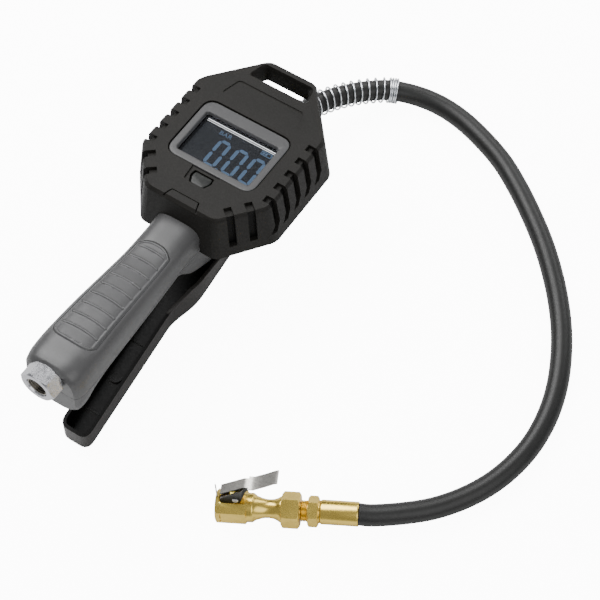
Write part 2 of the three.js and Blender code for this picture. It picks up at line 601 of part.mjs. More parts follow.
// ---------------------------------------------------------------- air path
function airPath() {
  const hex = rod('y', INLET.end, INLET.end + INLET.hexLength, 0, INLET.z, hexRadius(INLET.flats), 6,
    THREE.MathUtils.degToRad(-18));
  const shank = rod('y', INLET.end + 2, INLET_SHANK.end, 0, INLET.z, INLET_SHANK.radius);
  const thread = rod('y', INLET.end - 1, INLET.end + INLET.boreDepth, 0, INLET.z, INLET.bore);
  const mouth = rod('y', INLET.end - 1, INLET.end + 1.2, 0, INLET.z, INLET.mouth);
  const through = rod('y', INLET.end - 1, INLET_SHANK.end + 1, 0, INLET.z, PASSAGE, 16);
  add('inlet_fitting', cut(hex.add(shank), thread, mouth, through), 'alloy');
  const filterBack = INLET.end + INLET.boreDepth - CLEAR;
  add('inlet_filter', rod('y', filterBack - INLET.filter, filterBack, 0, INLET.z, INLET.bore - CLEAR, 20), 'brass');

  const start = new THREE.Vector3(0, INLET_SHANK.end + CLEAR, INLET.z);
  const end = new THREE.Vector3(0, BLOCK.yLow - CLEAR, -24.5);
  const path = new THREE.CatmullRomCurve3([
    start,
    new THREE.Vector3(0, start.y + 18, start.z - 1),
    new THREE.Vector3(0, end.y - 30, end.z + 0.6),
    end,
  ]);
  const ring = new THREE.Shape();
  ring.absarc(0, 0, TUBE.outer, 0, Math.PI * 2);
  const hole = new THREE.Path();
  hole.absarc(0, 0, TUBE.inner, 0, Math.PI * 2, true);
  ring.holes.push(hole);
  const tube = new THREE.ExtrudeGeometry(ring, { steps: 10, extrudePath: path, curveSegments: 7 });
  add('air_tube', toSolid(tube), 'rubber');

  const low = box(-BLOCK.half, BLOCK.half, BLOCK.yLow, BLOCK.yHigh, BLOCK.bottom, BLOCK.step);
  const high = box(-BLOCK.half, BLOCK.half, BLOCK.yLow, BLOCK.yStep - CLEAR, BLOCK.bottom, BLOCK.top);
  const bores = [
    ...[INFLATE, BLEED].flatMap((v) => [
      rod('z', -60, STEM.chamberTop, 0, v.y, v.radius + STEM.guide, 20),
      rod('z', STEM.seat, STEM.chamberTop, 0, v.y, v.bore),
    ]),
    rod('y', 30, 90, 0, OUTLET.z, 3.6, 16),
    rod('y', 0, 12, 0, -24.5, PASSAGE, 16),
    rod('x', -60, 60, PIVOT.y, PIVOT.z, PIVOT.radius + 0.05),
  ];
  const shelf = box(-BLOCK.half - 1, BLOCK.half + 1, HUMP.yLow - 1, BLOCK.yHigh + 1, -60, OUTLET.z - 7.5);
  add('valve_block', cut(low.add(high), shelf, ...bores), 'alloy');

  [['inflate', INFLATE], ['bleed', BLEED]].forEach(([name, v]) => {
    const sealTop = STEM.seat + 0.1 + STEM.seal;
    const headTop = sealTop + 0.1 + STEM.head;
    const r = v.radius;
    const stem = turned([
      [0, STEM.tip], [r * 0.6, STEM.tip + r * 0.2], [r, STEM.tip + r * 0.9], [r, sealTop + 0.1],
      [v.bore - 0.25, sealTop + 0.1], [v.bore - 0.25, headTop], [0, headTop],
    ], 20);
    add(`${name}_stem`, toSolid(stem.translate(0, v.y, 0)), 'brass');
    const ring = rod('z', sealTop - STEM.seal, sealTop, 0, v.y, v.bore - 0.25, 20);
    add(`${name}_seal`, ring.subtract(rod('z', -60, -20, 0, v.y, r + 0.1, 20)), 'rubber');
    const coilRadius = v.bore - 0.35 - v.wire / 2;
    const coil = helix(coilRadius, v.wire / 2, 3.5, headTop + v.wire, STEM.chamberTop - v.wire, 10);
    add(`${name}_spring`, coil.translate(0, v.y, 0), 'steel');
  });

  const adapterShank = rod('y', BLOCK.yHigh - 6, OUTLET.yEnd, 0, OUTLET.z, 3.5, 16);
  const adapterBody = rod('y', BLOCK.yHigh + CLEAR, OUTLET.yEnd - 1, 0, OUTLET.z, OUTLET.radius);
  const adapterHex = rod('y', OUTLET.yHex, OUTLET.yEnd, 0, OUTLET.z, hexRadius(OUTLET.flats), 6);
  const bore = rod('y', 0, 200, 0, OUTLET.z, 2.4, 14);
  add('hose_adapter', cut(union(adapterShank, adapterBody, adapterHex), bore), 'brass');
}

// A round wire wound along z from z0 to z1.
function helix(radius, wire, turns, z0, z1, perTurn) {
  const points = [];
  const count = Math.ceil(turns * perTurn);
  for (let i = 0; i <= count; i += 1) {
    const angle = (i / perTurn) * Math.PI * 2;
    points.push(new THREE.Vector3(radius * Math.cos(angle), radius * Math.sin(angle), z0 + ((z1 - z0) * i) / count));
  }
  return wireAlong(new THREE.CatmullRomCurve3(points), wire, count, 5);
}

function wireAlong(curve, radius, steps, sides) {
  const section = new THREE.Shape();
  for (let i = 0; i < sides; i += 1) {
    const angle = (i / sides) * Math.PI * 2;
    if (i === 0) section.moveTo(radius, 0);
    else section.lineTo(radius * Math.cos(angle), radius * Math.sin(angle));
  }
  return new THREE.ExtrudeGeometry(section, { steps, extrudePath: curve, curveSegments: 1 });
}

// ---------------------------------------------------------------- squeeze lever
const LEVER_FLOOR = [[LEVER.front, -57.5], [30, -61], [-11, -71.2], [-38, -77.6], [LEVER_TIP.y, LEVER_TIP.z]];
const LEVER_LIP = [
  [LEVER_TIP.y, LEVER_TIP.z + LEVER.depth], [-38, -65.5], [-22, -56.9], [8, -56.5], [20, -50.5], [26, -46.2],
  [36, -46.2], [LEVER.front, -48.5],
];

function leverPlan(inset) {
  const tip = LEVER_TIP.y + inset;
  const grip = LEVER.half - inset;
  const ear = LEVER.earHalf - inset;
  const corner = Math.max(1, LEVER.corner - inset);
  const shape = new THREE.Shape();
  shape.moveTo(-grip + corner, tip);
  shape.lineTo(grip - corner, tip);
  shape.absarc(grip - corner, tip + corner, corner, -Math.PI / 2, 0);
  shape.lineTo(grip, -41);
  shape.bezierCurveTo(grip, -31, ear, -26, ear, -13);
  shape.lineTo(ear, LEVER.front + 5);
  shape.lineTo(-ear, LEVER.front + 5);
  shape.lineTo(-ear, -13);
  shape.bezierCurveTo(-ear, -26, -grip, -31, -grip, -41);
  shape.lineTo(-grip, tip + corner);
  shape.absarc(-grip + corner, tip + corner, corner, Math.PI, Math.PI * 1.5);
  return shape;
}

function lever() {
  const plan = new THREE.ExtrudeGeometry(leverPlan(0), { depth: 80, bevelEnabled: false, curveSegments: 5 });
  const inner = new THREE.ExtrudeGeometry(leverPlan(LEVER.wall), { depth: 80, bevelEnabled: false, curveSegments: 5 });
  const outer = toSolid(plan.translate(0, 0, -110)).intersect(sideways([...LEVER_FLOOR, ...LEVER_LIP], -20, 20));
  const raised = LEVER_FLOOR.map(([y, z]) => [y, z + LEVER.floor]);
  raised[0] = [LEVER.front + 3, raised[0][1]];
  raised[raised.length - 1] = [LEVER_TIP.y - 2, LEVER_TIP.z + LEVER.floor - 0.5];
  const room = [...raised, [LEVER_TIP.y - 2, -30], [LEVER.front + 3, -30]];
  const hollow = toSolid(inner.translate(0, 0, -110)).intersect(sideways(room, -20, 20));
  const padTop = STEM.tip - 0.4;
  const pad = box(-5, 5, BLEED.y - 13, BLEED.y + 4, -63.5, padTop);
  const pinHole = rod('x', -60, 60, PIVOT.y, PIVOT.z, PIVOT.radius + RUN);
  return cut(outer.subtract(hollow).add(pad), pinHole);
}

function leverParts() {
  add('lever', lever(), 'black');
  const grooveX = PIN_X - 0.9;
  const pin = cut(
    rod('x', -PIN_X, PIN_X, PIVOT.y, PIVOT.z, PIVOT.radius),
    ...[1, -1].map((side) => rod('x', side * grooveX - 0.35, side * grooveX + 0.35, PIVOT.y, PIVOT.z, 5)
      .subtract(rod('x', side * grooveX - 0.5, side * grooveX + 0.5, PIVOT.y, PIVOT.z, PIVOT.radius - 0.5))),
  );
  add('lever_pin', pin, 'steel');
  [1, -1].forEach((side, i) => {
    const clip = cut(
      rod('x', side * grooveX - 0.25, side * grooveX + 0.25, PIVOT.y, PIVOT.z, PIVOT.radius + 1.8, 20),
      rod('x', side * grooveX - 1, side * grooveX + 1, PIVOT.y, PIVOT.z, PIVOT.radius - 0.4, 20),
      box(-60, 60, PIVOT.y - 1.2, PIVOT.y + 1.2, PIVOT.z - 10, PIVOT.z),
    );
    add(`pin_clip_${i + 1}`, clip, 'steel');
  });
}

// ---------------------------------------------------------------- chuck, along +x from the hose to the nose
function alongX(profile, sides = 28) {
  return toSolid(turned(profile, sides).rotateY(Math.PI / 2));
}

const hexX = (x0, x1, flats, phase) => rod('x', x0, x1, 0, 0, hexRadius(flats), 6, phase);

function chuckParts() {
  const c = CHUCK;
  const corner = Math.PI / 6; // a flat on top
  const x1 = c.ferruleLength;
  const x2 = x1 + 1 + c.tailHex;
  const x3 = x2 + c.neckLength;
  const x4 = x3 + c.hexLength;
  const x5 = x4 + c.waistLength;
  const x6 = x5 + c.noseLength;
  const barb = 3.4;
  add('ferrule', alongX([
    [barb + CLEAR, 0.6], [HOSE_RADIUS + CLEAR, 0.6], [HOSE_RADIUS + CLEAR, 0], [c.ferrule - 0.1, 0], [c.ferrule, 0.5],
    [c.ferrule, x1 - 0.5], [c.ferrule - 0.4, x1], [barb + CLEAR, x1], [barb + CLEAR, 0.6],
  ]), 'brass', chuck);
  const tail = alongX([
    [2, 1], [barb, 1], [barb, x1 + CLEAR], [6.2, x1 + CLEAR], [6.2, x1 + 1.2], [c.neck, x1 + 1.2], [c.neck, x3 - CLEAR],
    [4.6, x3 - CLEAR], [4.6, x3 + 6], [2, x3 + 6], [2, 1],
  ], 24);
  add('hose_tail', tail.add(hexX(x1 + 1, x2, c.tailFlats, corner).subtract(hexX(0, 99, 6, 0))), 'brass', chuck);
  const turnedBody = alongX([
    [2.2, x3 + 7], [c.neck + 1, x3 + 7], [c.neck + 1.4, x4], [c.waist + 1.6, x4 + 2.6], [c.waist, x4 + 6.5],
    [c.waist + 0.6, x4 + 11], [c.collarRadius - 0.5, x5 - 3.6], [c.collarRadius, x5 - 3], [c.collarRadius, x5 + 1],
    [2.2, x5 + 1], [2.2, x3 + 7],
  ], 32);
  const bodyHex = hexX(x3, x4, c.flats, corner).intersect(alongX([
    [0, x3], [c.flats / 2, x3], [c.flats / 2 + 1.4, x3 + 1], [c.flats / 2 + 1.4, x4 - 1], [c.flats / 2, x4], [0, x4],
  ], 32));
  const nose = hexX(x5, x6, c.noseFlats, corner).intersect(alongX([
    [0, x5], [c.noseFlats / 2 + 0.7, x5], [c.noseFlats / 2 + 0.7, x6 - 0.6], [c.noseFlats / 2, x6], [0, x6],
  ], 32));
  const hollow = alongX([[0, x3 - 1], [4.9, x3 - 1], [4.9, x3 + 6.5], [2.2, x3 + 6.5], [2.2, x5 + 4], [0, x5 + 4]], 24);
  const mouth = rod('x', x5 + 4 - 0.1, x6 + 1, 0, 0, c.mouth, 24);
  const ledge = box(x5 + 0.6, x6 - c.frontRing, -20, 20, c.ledge, 30);
  const pinX = x6 - CLIP.pinBack;
  const lugHalf = CLIP.ear - CLIP.sheet - CLEAR;
  const lug = box(pinX - 4.4, pinX + 3, -lugHalf, lugHalf, c.ledge - 1, CLIP.pinUp + 2);
  const clawSlot = box(x6 - 5.2, x6 - c.frontRing, -CLIP.claw - CLEAR, CLIP.claw + CLEAR, 2, 30);
  const pinHole = rod('y', -20, 20, pinX, CLIP.pinUp, CLIP.pin + 0.04, 16);
  const wireHole = rod('z', c.ledge - 3.2, 30, x6 - c.frontRing / 2, 0, 0.5, 10);
  const body = cut(union(turnedBody, bodyHex, nose.subtract(ledge), lug), hollow, mouth, clawSlot, pinHole, wireHole);
  add('chuck_body', body, 'brass', chuck);
  const sealX = x5 + 4.3;
  const sealBlank = rod('x', sealX, sealX + 4, 0, 0, c.mouth - 0.25, 24);
  add('chuck_seal', cut(sealBlank, rod('x', 0, 99, 0, 0, 2.1, 20)), 'rubber', chuck);
  add('chuck_depressor', rod('x', x5 - 2, sealX + 5.5, 0, 0, 1.1, 14)
    .add(rod('x', x5 - 2, x5 - 0.5, 0, 0, 1.9, 14)), 'brass', chuck);
  add('clip_wire', rod('z', c.ledge - 2.8, 20.6, x6 - c.frontRing / 2, 0, 0.4, 10), 'steel', chuck);
  clip(x6);
}

// A solid in the chuck's side view, from [back from the nose, up] points, between two widths.
function clipSheet(outline, noseEnd, y0, y1) {
  const shape = new THREE.Shape(outline.map(([back, up]) => new THREE.Vector2(noseEnd - back, up)));
  const geometry = new THREE.ExtrudeGeometry(shape, { depth: y1 - y0, bevelEnabled: false });
  geometry.rotateX(Math.PI / 2);
  geometry.translate(0, y1, 0);
  return toSolid(geometry);
}

// The steel clip: two cheeks on the pin, a narrow tongue to the claw and a wider thumb plate at the tail.
function clip(noseEnd) {
  const { ear, tail, sheet, plate: line, cheek, claw, clawBack, clawUp } = CLIP;
  const above = (points) => [...points, ...points.map(([back, up]) => [back, up + sheet]).reverse()];
  const [front, kink, kinkEnd, end] = line;
  const tongue = clipSheet(above([front, kink, kinkEnd]), noseEnd, -ear, ear);
  const thumb = clipSheet(above([[kinkEnd[0] - 3, kinkEnd[1] - 0.1], kinkEnd, end]), noseEnd, -tail, tail);
  const clawPlate = clipSheet([
    [clawBack - sheet / 2, clawUp], [clawBack + sheet / 2, clawUp], [clawBack + sheet / 2, front[1] + 0.8],
    [clawBack - sheet / 2, front[1] + 0.5],
  ], noseEnd, -claw, claw);
  const near = clipSheet(cheek, noseEnd, ear - sheet, ear);
  const far = clipSheet(cheek, noseEnd, -ear, -ear + sheet);
  const pinX = noseEnd - CLIP.pinBack;
  const hole = rod('y', -20, 20, pinX, CLIP.pinUp, CLIP.pin + 0.06, 16);
  add('chuck_clip', union(tongue, thumb, clawPlate, near, far).subtract(hole), 'steel', chuck);
  add('chuck_clip_pin', rod('y', -ear - 0.5, ear + 0.5, pinX, CLIP.pinUp, CLIP.pin, 16), 'steel', chuck);
}

// ---------------------------------------------------------------- hose, laid from the adapter to the chuck
// Points on the table, before the whole object is centred: x, y, height of the centreline.
const ROUTE = [
  [2.6, 104, 24.0], [8.4, 118, 20.6], [15.6, 129.5, 17.3], [24.2, 139.4, 14.4], [34.0, 147.5, 11.8],
  [48.5, 153.4, 9.2], [64, 155.6, 7.4], [80, 153.9, 6.5], [98, 148.4, 6.3], [114.5, 141.3, 6.2], [131, 131, 6.2],
  [146.5, 119.5, 6.2], [161.2, 107.2, 6.2], [174.7, 93.8, 6.2], [186.9, 79.6, 6.2], [197.7, 64.4, 6.2],
  [206.5, 48.3, 6.2], [213.2, 31.5, 6.2], [217.1, 14.1, 6.2], [217.9, -3.3, 6.2], [215.4, -20.1, 6.3],
  [210, -35.9, 6.5], [202, -50.2, 6.9], [192, -63, 7.6], [180, -74, 8.5],
];
const CHUCK_AT = new THREE.Vector3(160, -87.4, CHUCK.height);

tool.rotation.x = -TILT;
tool.updateMatrix();
const lift = -new THREE.Vector3(0, LEVER_TIP.y, LEVER_TIP.z).applyMatrix4(tool.matrix).z;
tool.position.z = lift;
tool.updateMatrix();
chuck.rotation.order = 'ZYX';
chuck.rotation.z = CHUCK.heading;
chuck.rotation.x = CHUCK.roll;
chuck.position.copy(CHUCK_AT);
chuck.updateMatrix();
group.add(chuck);

function hoseParts() {
  const from = new THREE.Vector3(0, OUTLET.yEnd + CLEAR, OUTLET.z).applyMatrix4(tool.matrix);
  const ahead = new THREE.Vector3(0, OUTLET.yEnd + 5, OUTLET.z).applyMatrix4(tool.matrix);
  const behind = new THREE.Vector3(-6, 0, -0.4).applyMatrix4(chuck.matrix);
  const to = new THREE.Vector3(CLEAR - 0.6 + 0.3, 0, 0).applyMatrix4(chuck.matrix);
  const points = [from, ahead, ...ROUTE.map(([x, y, z]) => new THREE.Vector3(x, y, z)), behind, to];
  const curve = new THREE.CatmullRomCurve3(points, false, 'centripetal');
  curve.arcLengthDivisions = 800;
  add('hose', wireAlong(curve, HOSE_RADIUS, 64, 10), 'hose', group);

  const total = curve.getLength();
  const perTurn = 10;
  const guardPoints = [];
  const openTurns = GUARD.turns;
  const steps = Math.round((openTurns + GUARD.collar) * perTurn);
  const collarLength = GUARD.collar * GUARD.collarPitch;
  const side = new THREE.Vector3(0, 0, 1);
  const frame = [];
  for (let i = 0; i <= steps; i += 1) {
    const turn = i / perTurn;
    const openPart = Math.min(turn, openTurns) / openTurns;
    const closedPart = Math.max(0, turn - openTurns) / GUARD.collar;
    const s = 0.8 + openPart * (GUARD.length - collarLength) + closedPart * collarLength;
    const centre = curve.getPointAt(s / total);
    const along = curve.getTangentAt(s / total);
    const across = new THREE.Vector3().crossVectors(along, side).normalize();
    const up = new THREE.Vector3().crossVectors(across, along);
    const angle = turn * Math.PI * 2;
    const radius = GUARD.inner + GUARD.wire;
    frame.push(centre);
    guardPoints.push(centre.clone()
      .addScaledVector(across, radius * Math.cos(angle))
      .addScaledVector(up, radius * Math.sin(angle)));
  }
  add('spring_guard', wireAlong(new THREE.CatmullRomCurve3(guardPoints), GUARD.wire, steps, 5), 'zinc', group);
}

displayStack();
body();
airPath();
leverParts();
chuckParts();
hoseParts();

// Centre the tool on the y axis, leaving out the hose and what is on it.
group.updateMatrixWorld(true);
const reach = new THREE.Box3().setFromObject(tool, true);
const shift = -(reach.min.y + reach.max.y) / 2;
group.position.y = shift;
group.updateMatrixWorld(true);

export default group;
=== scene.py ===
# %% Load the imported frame
import json
import math

import bmesh
import bpy
from mathutils import Matrix, Vector


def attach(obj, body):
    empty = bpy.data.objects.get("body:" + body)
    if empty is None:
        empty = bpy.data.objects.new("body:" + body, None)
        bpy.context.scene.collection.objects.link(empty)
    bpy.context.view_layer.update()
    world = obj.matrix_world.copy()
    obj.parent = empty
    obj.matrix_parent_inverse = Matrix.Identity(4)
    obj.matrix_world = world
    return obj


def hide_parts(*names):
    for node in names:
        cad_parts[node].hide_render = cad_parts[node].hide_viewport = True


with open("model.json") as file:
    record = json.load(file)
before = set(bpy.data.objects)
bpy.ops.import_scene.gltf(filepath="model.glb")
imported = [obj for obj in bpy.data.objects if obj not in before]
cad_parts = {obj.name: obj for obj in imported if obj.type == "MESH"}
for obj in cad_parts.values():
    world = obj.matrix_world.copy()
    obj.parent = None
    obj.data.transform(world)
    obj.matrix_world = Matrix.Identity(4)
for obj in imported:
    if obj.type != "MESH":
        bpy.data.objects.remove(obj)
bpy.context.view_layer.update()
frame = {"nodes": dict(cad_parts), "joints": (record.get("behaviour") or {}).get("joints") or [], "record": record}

# %% [markdown]
# The tool lies tilted on the table, resting on the tip of its lever. It is much
# easier to think about it lying straight, so every piece of it is drawn in
# millimetres in the tool's own directions: x across the display, y along the handle
# and z out of the display. One matrix then carries a finished mesh to its place. The
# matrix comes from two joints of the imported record, so it can't drift from the CAD.

# %% The tool's own directions
MM = 0.001
JOINTS = {joint["name"]: joint for joint in frame["joints"]}
SLOTS = {row["node"]: row["material_slot"] for row in frame["record"]["subparts"]}
PIVOT = Vector((0, 31, -51.5))
press = Vector(JOINTS["inflate_lift"]["axis"])
TILT = math.atan2(press.y, press.z)
TOOL = (
    Matrix.Translation(JOINTS["trigger"]["pos_m"])
    @ Matrix.Rotation(-TILT, 4, "X")
    @ Matrix.Scale(MM, 4)
    @ Matrix.Translation(-PIVOT)
)
print("tilt in degrees", round(math.degrees(TILT), 3))

# %% [markdown]
# The chuck at the end of the hose lies at an angle of its own. Its x runs from the
# hose to the nose and its y is the pin of the clip, which the clip's joint gives.

# %% The chuck's own directions
CHUCK_LENGTH = 77.0
PIN_BACK, PIN_UP = 11.4, 10.8
chuck_y = -Vector(JOINTS["clip_open"]["axis"])
chuck_x = chuck_y.cross(Vector((0, 0, 1))).normalized()
chuck_z = chuck_x.cross(chuck_y)
ferrule_face = (
    Vector(JOINTS["clip_open"]["pos_m"])
    - chuck_x * (CHUCK_LENGTH - PIN_BACK) * MM
    - chuck_z * PIN_UP * MM
)
CHUCK = Matrix((chuck_x, chuck_y, chuck_z)).transposed().to_4x4() @ Matrix.Scale(MM, 4)
CHUCK.translation = ferrule_face
print("ferrule face", [round(v, 4) for v in ferrule_face])

# %% [markdown]
# The camera looks down steeply from the chuck's side of the tool. It is set from a
# place and two directions instead of angles, because that is how it was solved. The
# long lens keeps the edges of the display nearly parallel.

# %% Camera
camera_data = bpy.data.cameras.new("camera")
camera_data.lens = 109.94
camera_data.sensor_width = 36
camera_data.dof.use_dof = False
camera = bpy.data.objects.new("camera", camera_data)
right = Vector((0.8373, 0.5408, -0.0808))
up = Vector((-0.4567, 0.7730, 0.4404))
back = Vector((0.3006, -0.3318, 0.8942))
ROLL = 0.006
right, up = right * math.cos(ROLL) + up * math.sin(ROLL), up * math.cos(ROLL) - right * math.sin(ROLL)
camera.matrix_world = Matrix((right, up, back)).transposed().to_4x4()
camera.location = (0.37564, -0.32250, 0.93963)
bpy.context.scene.collection.objects.link(camera)
bpy.context.scene.camera = camera
print("camera at", [round(v, 3) for v in camera.location])

# %% [markdown]
# Nothing real has one flat colour. This helper builds every finish from the same few
# nodes: a broad noise that shifts the colour a little, a finer one that varies the
# roughness and raises a slight bump, and the pointiness of the surface, which is high
# on outside edges. There the colour is made paler: partly wear, where handling rubs a
# piece, and partly a painted highlight along edges and ridges. The noise reads Object
# coordinates, so it stays on the piece when the piece moves.

# %% Finish helper
def finish(name, colour, rough, metal=0.0, spread=0.12, patch=30.0, grain=1400.0, bump=0.05,
           edge=0.0, stretch=(1, 1, 1), turn=(0, 0, 0), swing=0.08, shine=0.5):
    made = bpy.data.materials.new(name)
    made.use_nodes = True
    tree = made.node_tree
    shader = tree.nodes["Principled BSDF"]

    def node(kind, **values):
        new = tree.nodes.new(kind)
        for key, value in values.items():
            new.inputs[key].default_value = value
        return new

    def remap(low, high, to_low, to_high):
        ends = {"From Min": low, "From Max": high, "To Min": to_low, "To Max": to_high}
        return node("ShaderNodeMapRange", **ends)

    coords = tree.nodes.new("ShaderNodeTexCoord")
    place = node("ShaderNodeMapping", Scale=stretch, Rotation=turn)
    tree.links.new(coords.outputs["Object"], place.inputs["Vector"])
    cloud = node("ShaderNodeTexNoise", Scale=patch, Detail=5.0, Roughness=0.6)
    fine = node("ShaderNodeTexNoise", Scale=grain, Detail=3.0, Roughness=0.55)
    for noise in (cloud, fine):
        tree.links.new(place.outputs["Vector"], noise.inputs["Vector"])
    tones = tree.nodes.new("ShaderNodeValToRGB")
    tones.color_ramp.elements[0].position = 0.32
    tones.color_ramp.elements[1].position = 0.68
    tones.color_ramp.elements[0].color = [c * (1 - spread) for c in colour] + [1]
    tones.color_ramp.elements[1].color = [min(1, c * (1 + spread)) for c in colour] + [1]
    tree.links.new(cloud.outputs["Fac"], tones.inputs["Fac"])
    shade = tones.outputs["Color"]
    # Paler edges: partly wear, partly a painted highlight along edges and ridges.
    if edge:
        shape = tree.nodes.new("ShaderNodeNewGeometry")
        wear_and_highlight_amount = remap(0.51, 0.6, 0.0, edge)
        tree.links.new(shape.outputs["Pointiness"], wear_and_highlight_amount.inputs["Value"])
        wear_and_highlight_mix = tree.nodes.new("ShaderNodeMix")
        wear_and_highlight_mix.data_type = "RGBA"
        tree.links.new(wear_and_highlight_amount.outputs["Result"], wear_and_highlight_mix.inputs["Factor"])
        tree.links.new(shade, wear_and_highlight_mix.inputs["A"])
        wear_and_highlight_mix.inputs["B"].default_value = [min(1, c * 1.7 + 0.03) for c in colour] + [1]
        shade = wear_and_highlight_mix.outputs["Result"]
    tree.links.new(shade, shader.inputs["Base Color"])
    polish = remap(0.3, 0.7, max(0.02, rough - swing), min(1, rough + swing))
    tree.links.new(fine.outputs["Fac"], polish.inputs["Value"])
    tree.links.new(polish.outputs["Result"], shader.inputs["Roughness"])
    dents = node("ShaderNodeBump", Strength=1.0, Distance=bump * MM)
    tree.links.new(fine.outputs["Fac"], dents.inputs["Height"])
    tree.links.new(dents.outputs["Normal"], shader.inputs["Normal"])
    shader.inputs["Metallic"].default_value = metal
    shader.inputs["Specular IOR Level"].default_value = shine
    return made

# %% [markdown]
# These are the finishes of the whole tool, one for each material slot of the record and
# three more, darker copies that paint shade: in the lever's trough, in the inlet's bore
# and on the cheeks of the clip.
# The rubber boot is a warm charcoal with a dry grain; the handle is a satin grey
# plastic; the brass is turned and a little dull. Brushed parts stretch the noise along
# one direction, so that it turns into streaks.

# %% Finishes
heading = math.atan2(chuck_x.y, chuck_x.x)
FINISH = {}


def add_finish(name, colour, rough, **more):
    FINISH[name] = finish(name, colour, rough, **more)

add_finish("boot_rubber", (0.0104, 0.0095, 0.0082), 0.58, spread=0.16, bump=0.06, edge=0.06, swing=0.08,
           shine=0.2)
add_finish("bezel_grey", (0.056, 0.056, 0.057), 0.40, spread=0.06, bump=0.02, edge=0.25, shine=0.4)
add_finish("lcd_black", (0.0022, 0.0026, 0.0034), 0.3, spread=0.15, bump=0.0, shine=0.08, swing=0.02)
add_finish("black_rubber", (0.006, 0.006, 0.006), 0.6, bump=0.05, shine=0.25)
add_finish("black_plastic", (0.004, 0.0038, 0.0036), 0.6, bump=0.02, shine=0.15)
add_finish("button_grey", (0.0065, 0.0075, 0.0066), 0.40, bump=0.02, edge=0.1, shine=0.35)
add_finish("board_green", (0.01, 0.05, 0.02), 0.4)
add_finish("shell_grey", (0.062, 0.062, 0.0625), 0.36, spread=0.05, bump=0.025, edge=0.2, swing=0.05,
           shine=0.5)
# The pad and the lever have a strong edge term: their pale ridges and rims are mostly a painted highlight.
add_finish("pad_grey", (0.056, 0.056, 0.057), 0.38, spread=0.07, bump=0.02, edge=1.6, shine=0.5)
add_finish("lever_plastic", (0.0125, 0.0110, 0.0092), 0.36, spread=0.14, bump=0.02, edge=1.4, shine=0.35)
# Painted shade: a darker copy of the lever's plastic for the inside of its trough.
add_finish("lever_inside", (0.0022, 0.0021, 0.0020), 0.45, spread=0.2, bump=0.02, shine=0.12)
add_finish("cell_wrap", (0.35, 0.20, 0.06), 0.3)
add_finish("nickel", (0.50, 0.50, 0.52), 0.24, metal=1.0, spread=0.06, bump=0.0012, grain=600.0)
# Painted shade: a darker copy of the nickel for the inlet's bore.
add_finish("bore_dark", (0.16, 0.15, 0.13), 0.35, metal=1.0, bump=0.004, edge=1.0)
add_finish("aluminium", (0.62, 0.62, 0.62), 0.4, metal=1.0, bump=0.004)
add_finish("brass", (0.82, 0.59, 0.13), 0.27, metal=1.0, spread=0.08, bump=0.0015, edge=0.3, patch=60.0,
           turn=(0, 0, -heading), stretch=(1, 4, 4))
add_finish("steel", (0.55, 0.54, 0.52), 0.3, metal=1.0, bump=0.004)
add_finish("clip_steel", (0.50, 0.485, 0.45), 0.32, metal=1.0, spread=0.12, bump=0.003, patch=90.0,
           turn=(0, 0, -heading), stretch=(1, 10, 10))
# Painted shade: a near-black copy of the clip's steel for the flat sides of its cheeks.
add_finish("clip_cheek", (0.035, 0.035, 0.033), 0.3, metal=1.0, spread=0.3, bump=0.003, edge=1.0,
           patch=200.0)
add_finish("zinc", (0.80, 0.82, 0.85), 0.2, metal=1.0, spread=0.08, bump=0.003)
add_finish("hose_rubber", (0.0115, 0.0115, 0.0110), 0.42, spread=0.15, bump=0.04, swing=0.08, shine=0.42)
print(len(FINISH), "finishes")

# %% [markdown]
# The window over the display is clear plastic. A full glass shader would need many
# light bounces to show the digits through it, so this one mixes a transparent shader
# with a glossy one by the Fresnel effect: clear when looked at squarely, and shiny at
# the edges. A faint noise breaks up the reflection, as fine scratches do.

# %% Window finish
def window_finish():
    made = bpy.data.materials.new("lens_glass")
    made.use_nodes = True
    tree = made.node_tree
    tree.nodes.remove(tree.nodes["Principled BSDF"])
    output = tree.nodes["Material Output"]
    coords = tree.nodes.new("ShaderNodeTexCoord")
    scratches = tree.nodes.new("ShaderNodeTexNoise")
    scratches.inputs["Scale"].default_value = 400.0
    tree.links.new(coords.outputs["Object"], scratches.inputs["Vector"])
    rough = tree.nodes.new("ShaderNodeMapRange")
    rough.inputs["To Min"].default_value = 0.02
    rough.inputs["To Max"].default_value = 0.12
    tree.links.new(scratches.outputs["Fac"], rough.inputs["Value"])
    gloss = tree.nodes.new("ShaderNodeBsdfGlossy")
    gloss.inputs["Color"].default_value = (0.9, 0.93, 1.0, 1)
    tree.links.new(rough.outputs["Result"], gloss.inputs["Roughness"])
    clear = tree.nodes.new("ShaderNodeBsdfTransparent")
    clear.inputs["Color"].default_value = (0.93, 0.94, 0.95, 1)
    fresnel = tree.nodes.new("ShaderNodeFresnel")
    fresnel.inputs["IOR"].default_value = 1.45
    mix = tree.nodes.new("ShaderNodeMixShader")
    tree.links.new(fresnel.outputs["Fac"], mix.inputs["Fac"])
    tree.links.new(clear.outputs["BSDF"], mix.inputs[1])
    tree.links.new(gloss.outputs["BSDF"], mix.inputs[2])
    tree.links.new(mix.outputs["Shader"], output.inputs["Surface"])
    return made

FINISH["lens_glass"] = window_finish()

# %% [markdown]
# Most pieces begin as one of three things: a flat outline pushed into a prism, a skin
# bridged through several outlines (a loft), or a profile spun about an axis. Corners
# of an outline are rounded first, each with the same number of points, so that two
# outlines of one shape can always be bridged.

# %% Outlines, prisms and lofts
def rounded(corners, radius, steps=6):
    result = []
    corners = [Vector(c).to_3d() for c in corners]
    for i, corner in enumerate(corners):
        before, after = corners[i - 1], corners[(i + 1) % len(corners)]
        start = corner.lerp(before, min(0.45, radius / (corner - before).length))
        end = corner.lerp(after, min(0.45, radius / (corner - after).length))
        for k in range(steps + 1):
            t = k / steps
            result.append(start.lerp(corner, t).lerp(corner.lerp(end, t), t))
    return result


def rectangle(width, height, y, corner, steps=6):
    w, h = width / 2, height / 2
    return rounded([(-w, y - h), (w, y - h), (w, y + h), (-w, y + h)], corner * 1.3, steps)


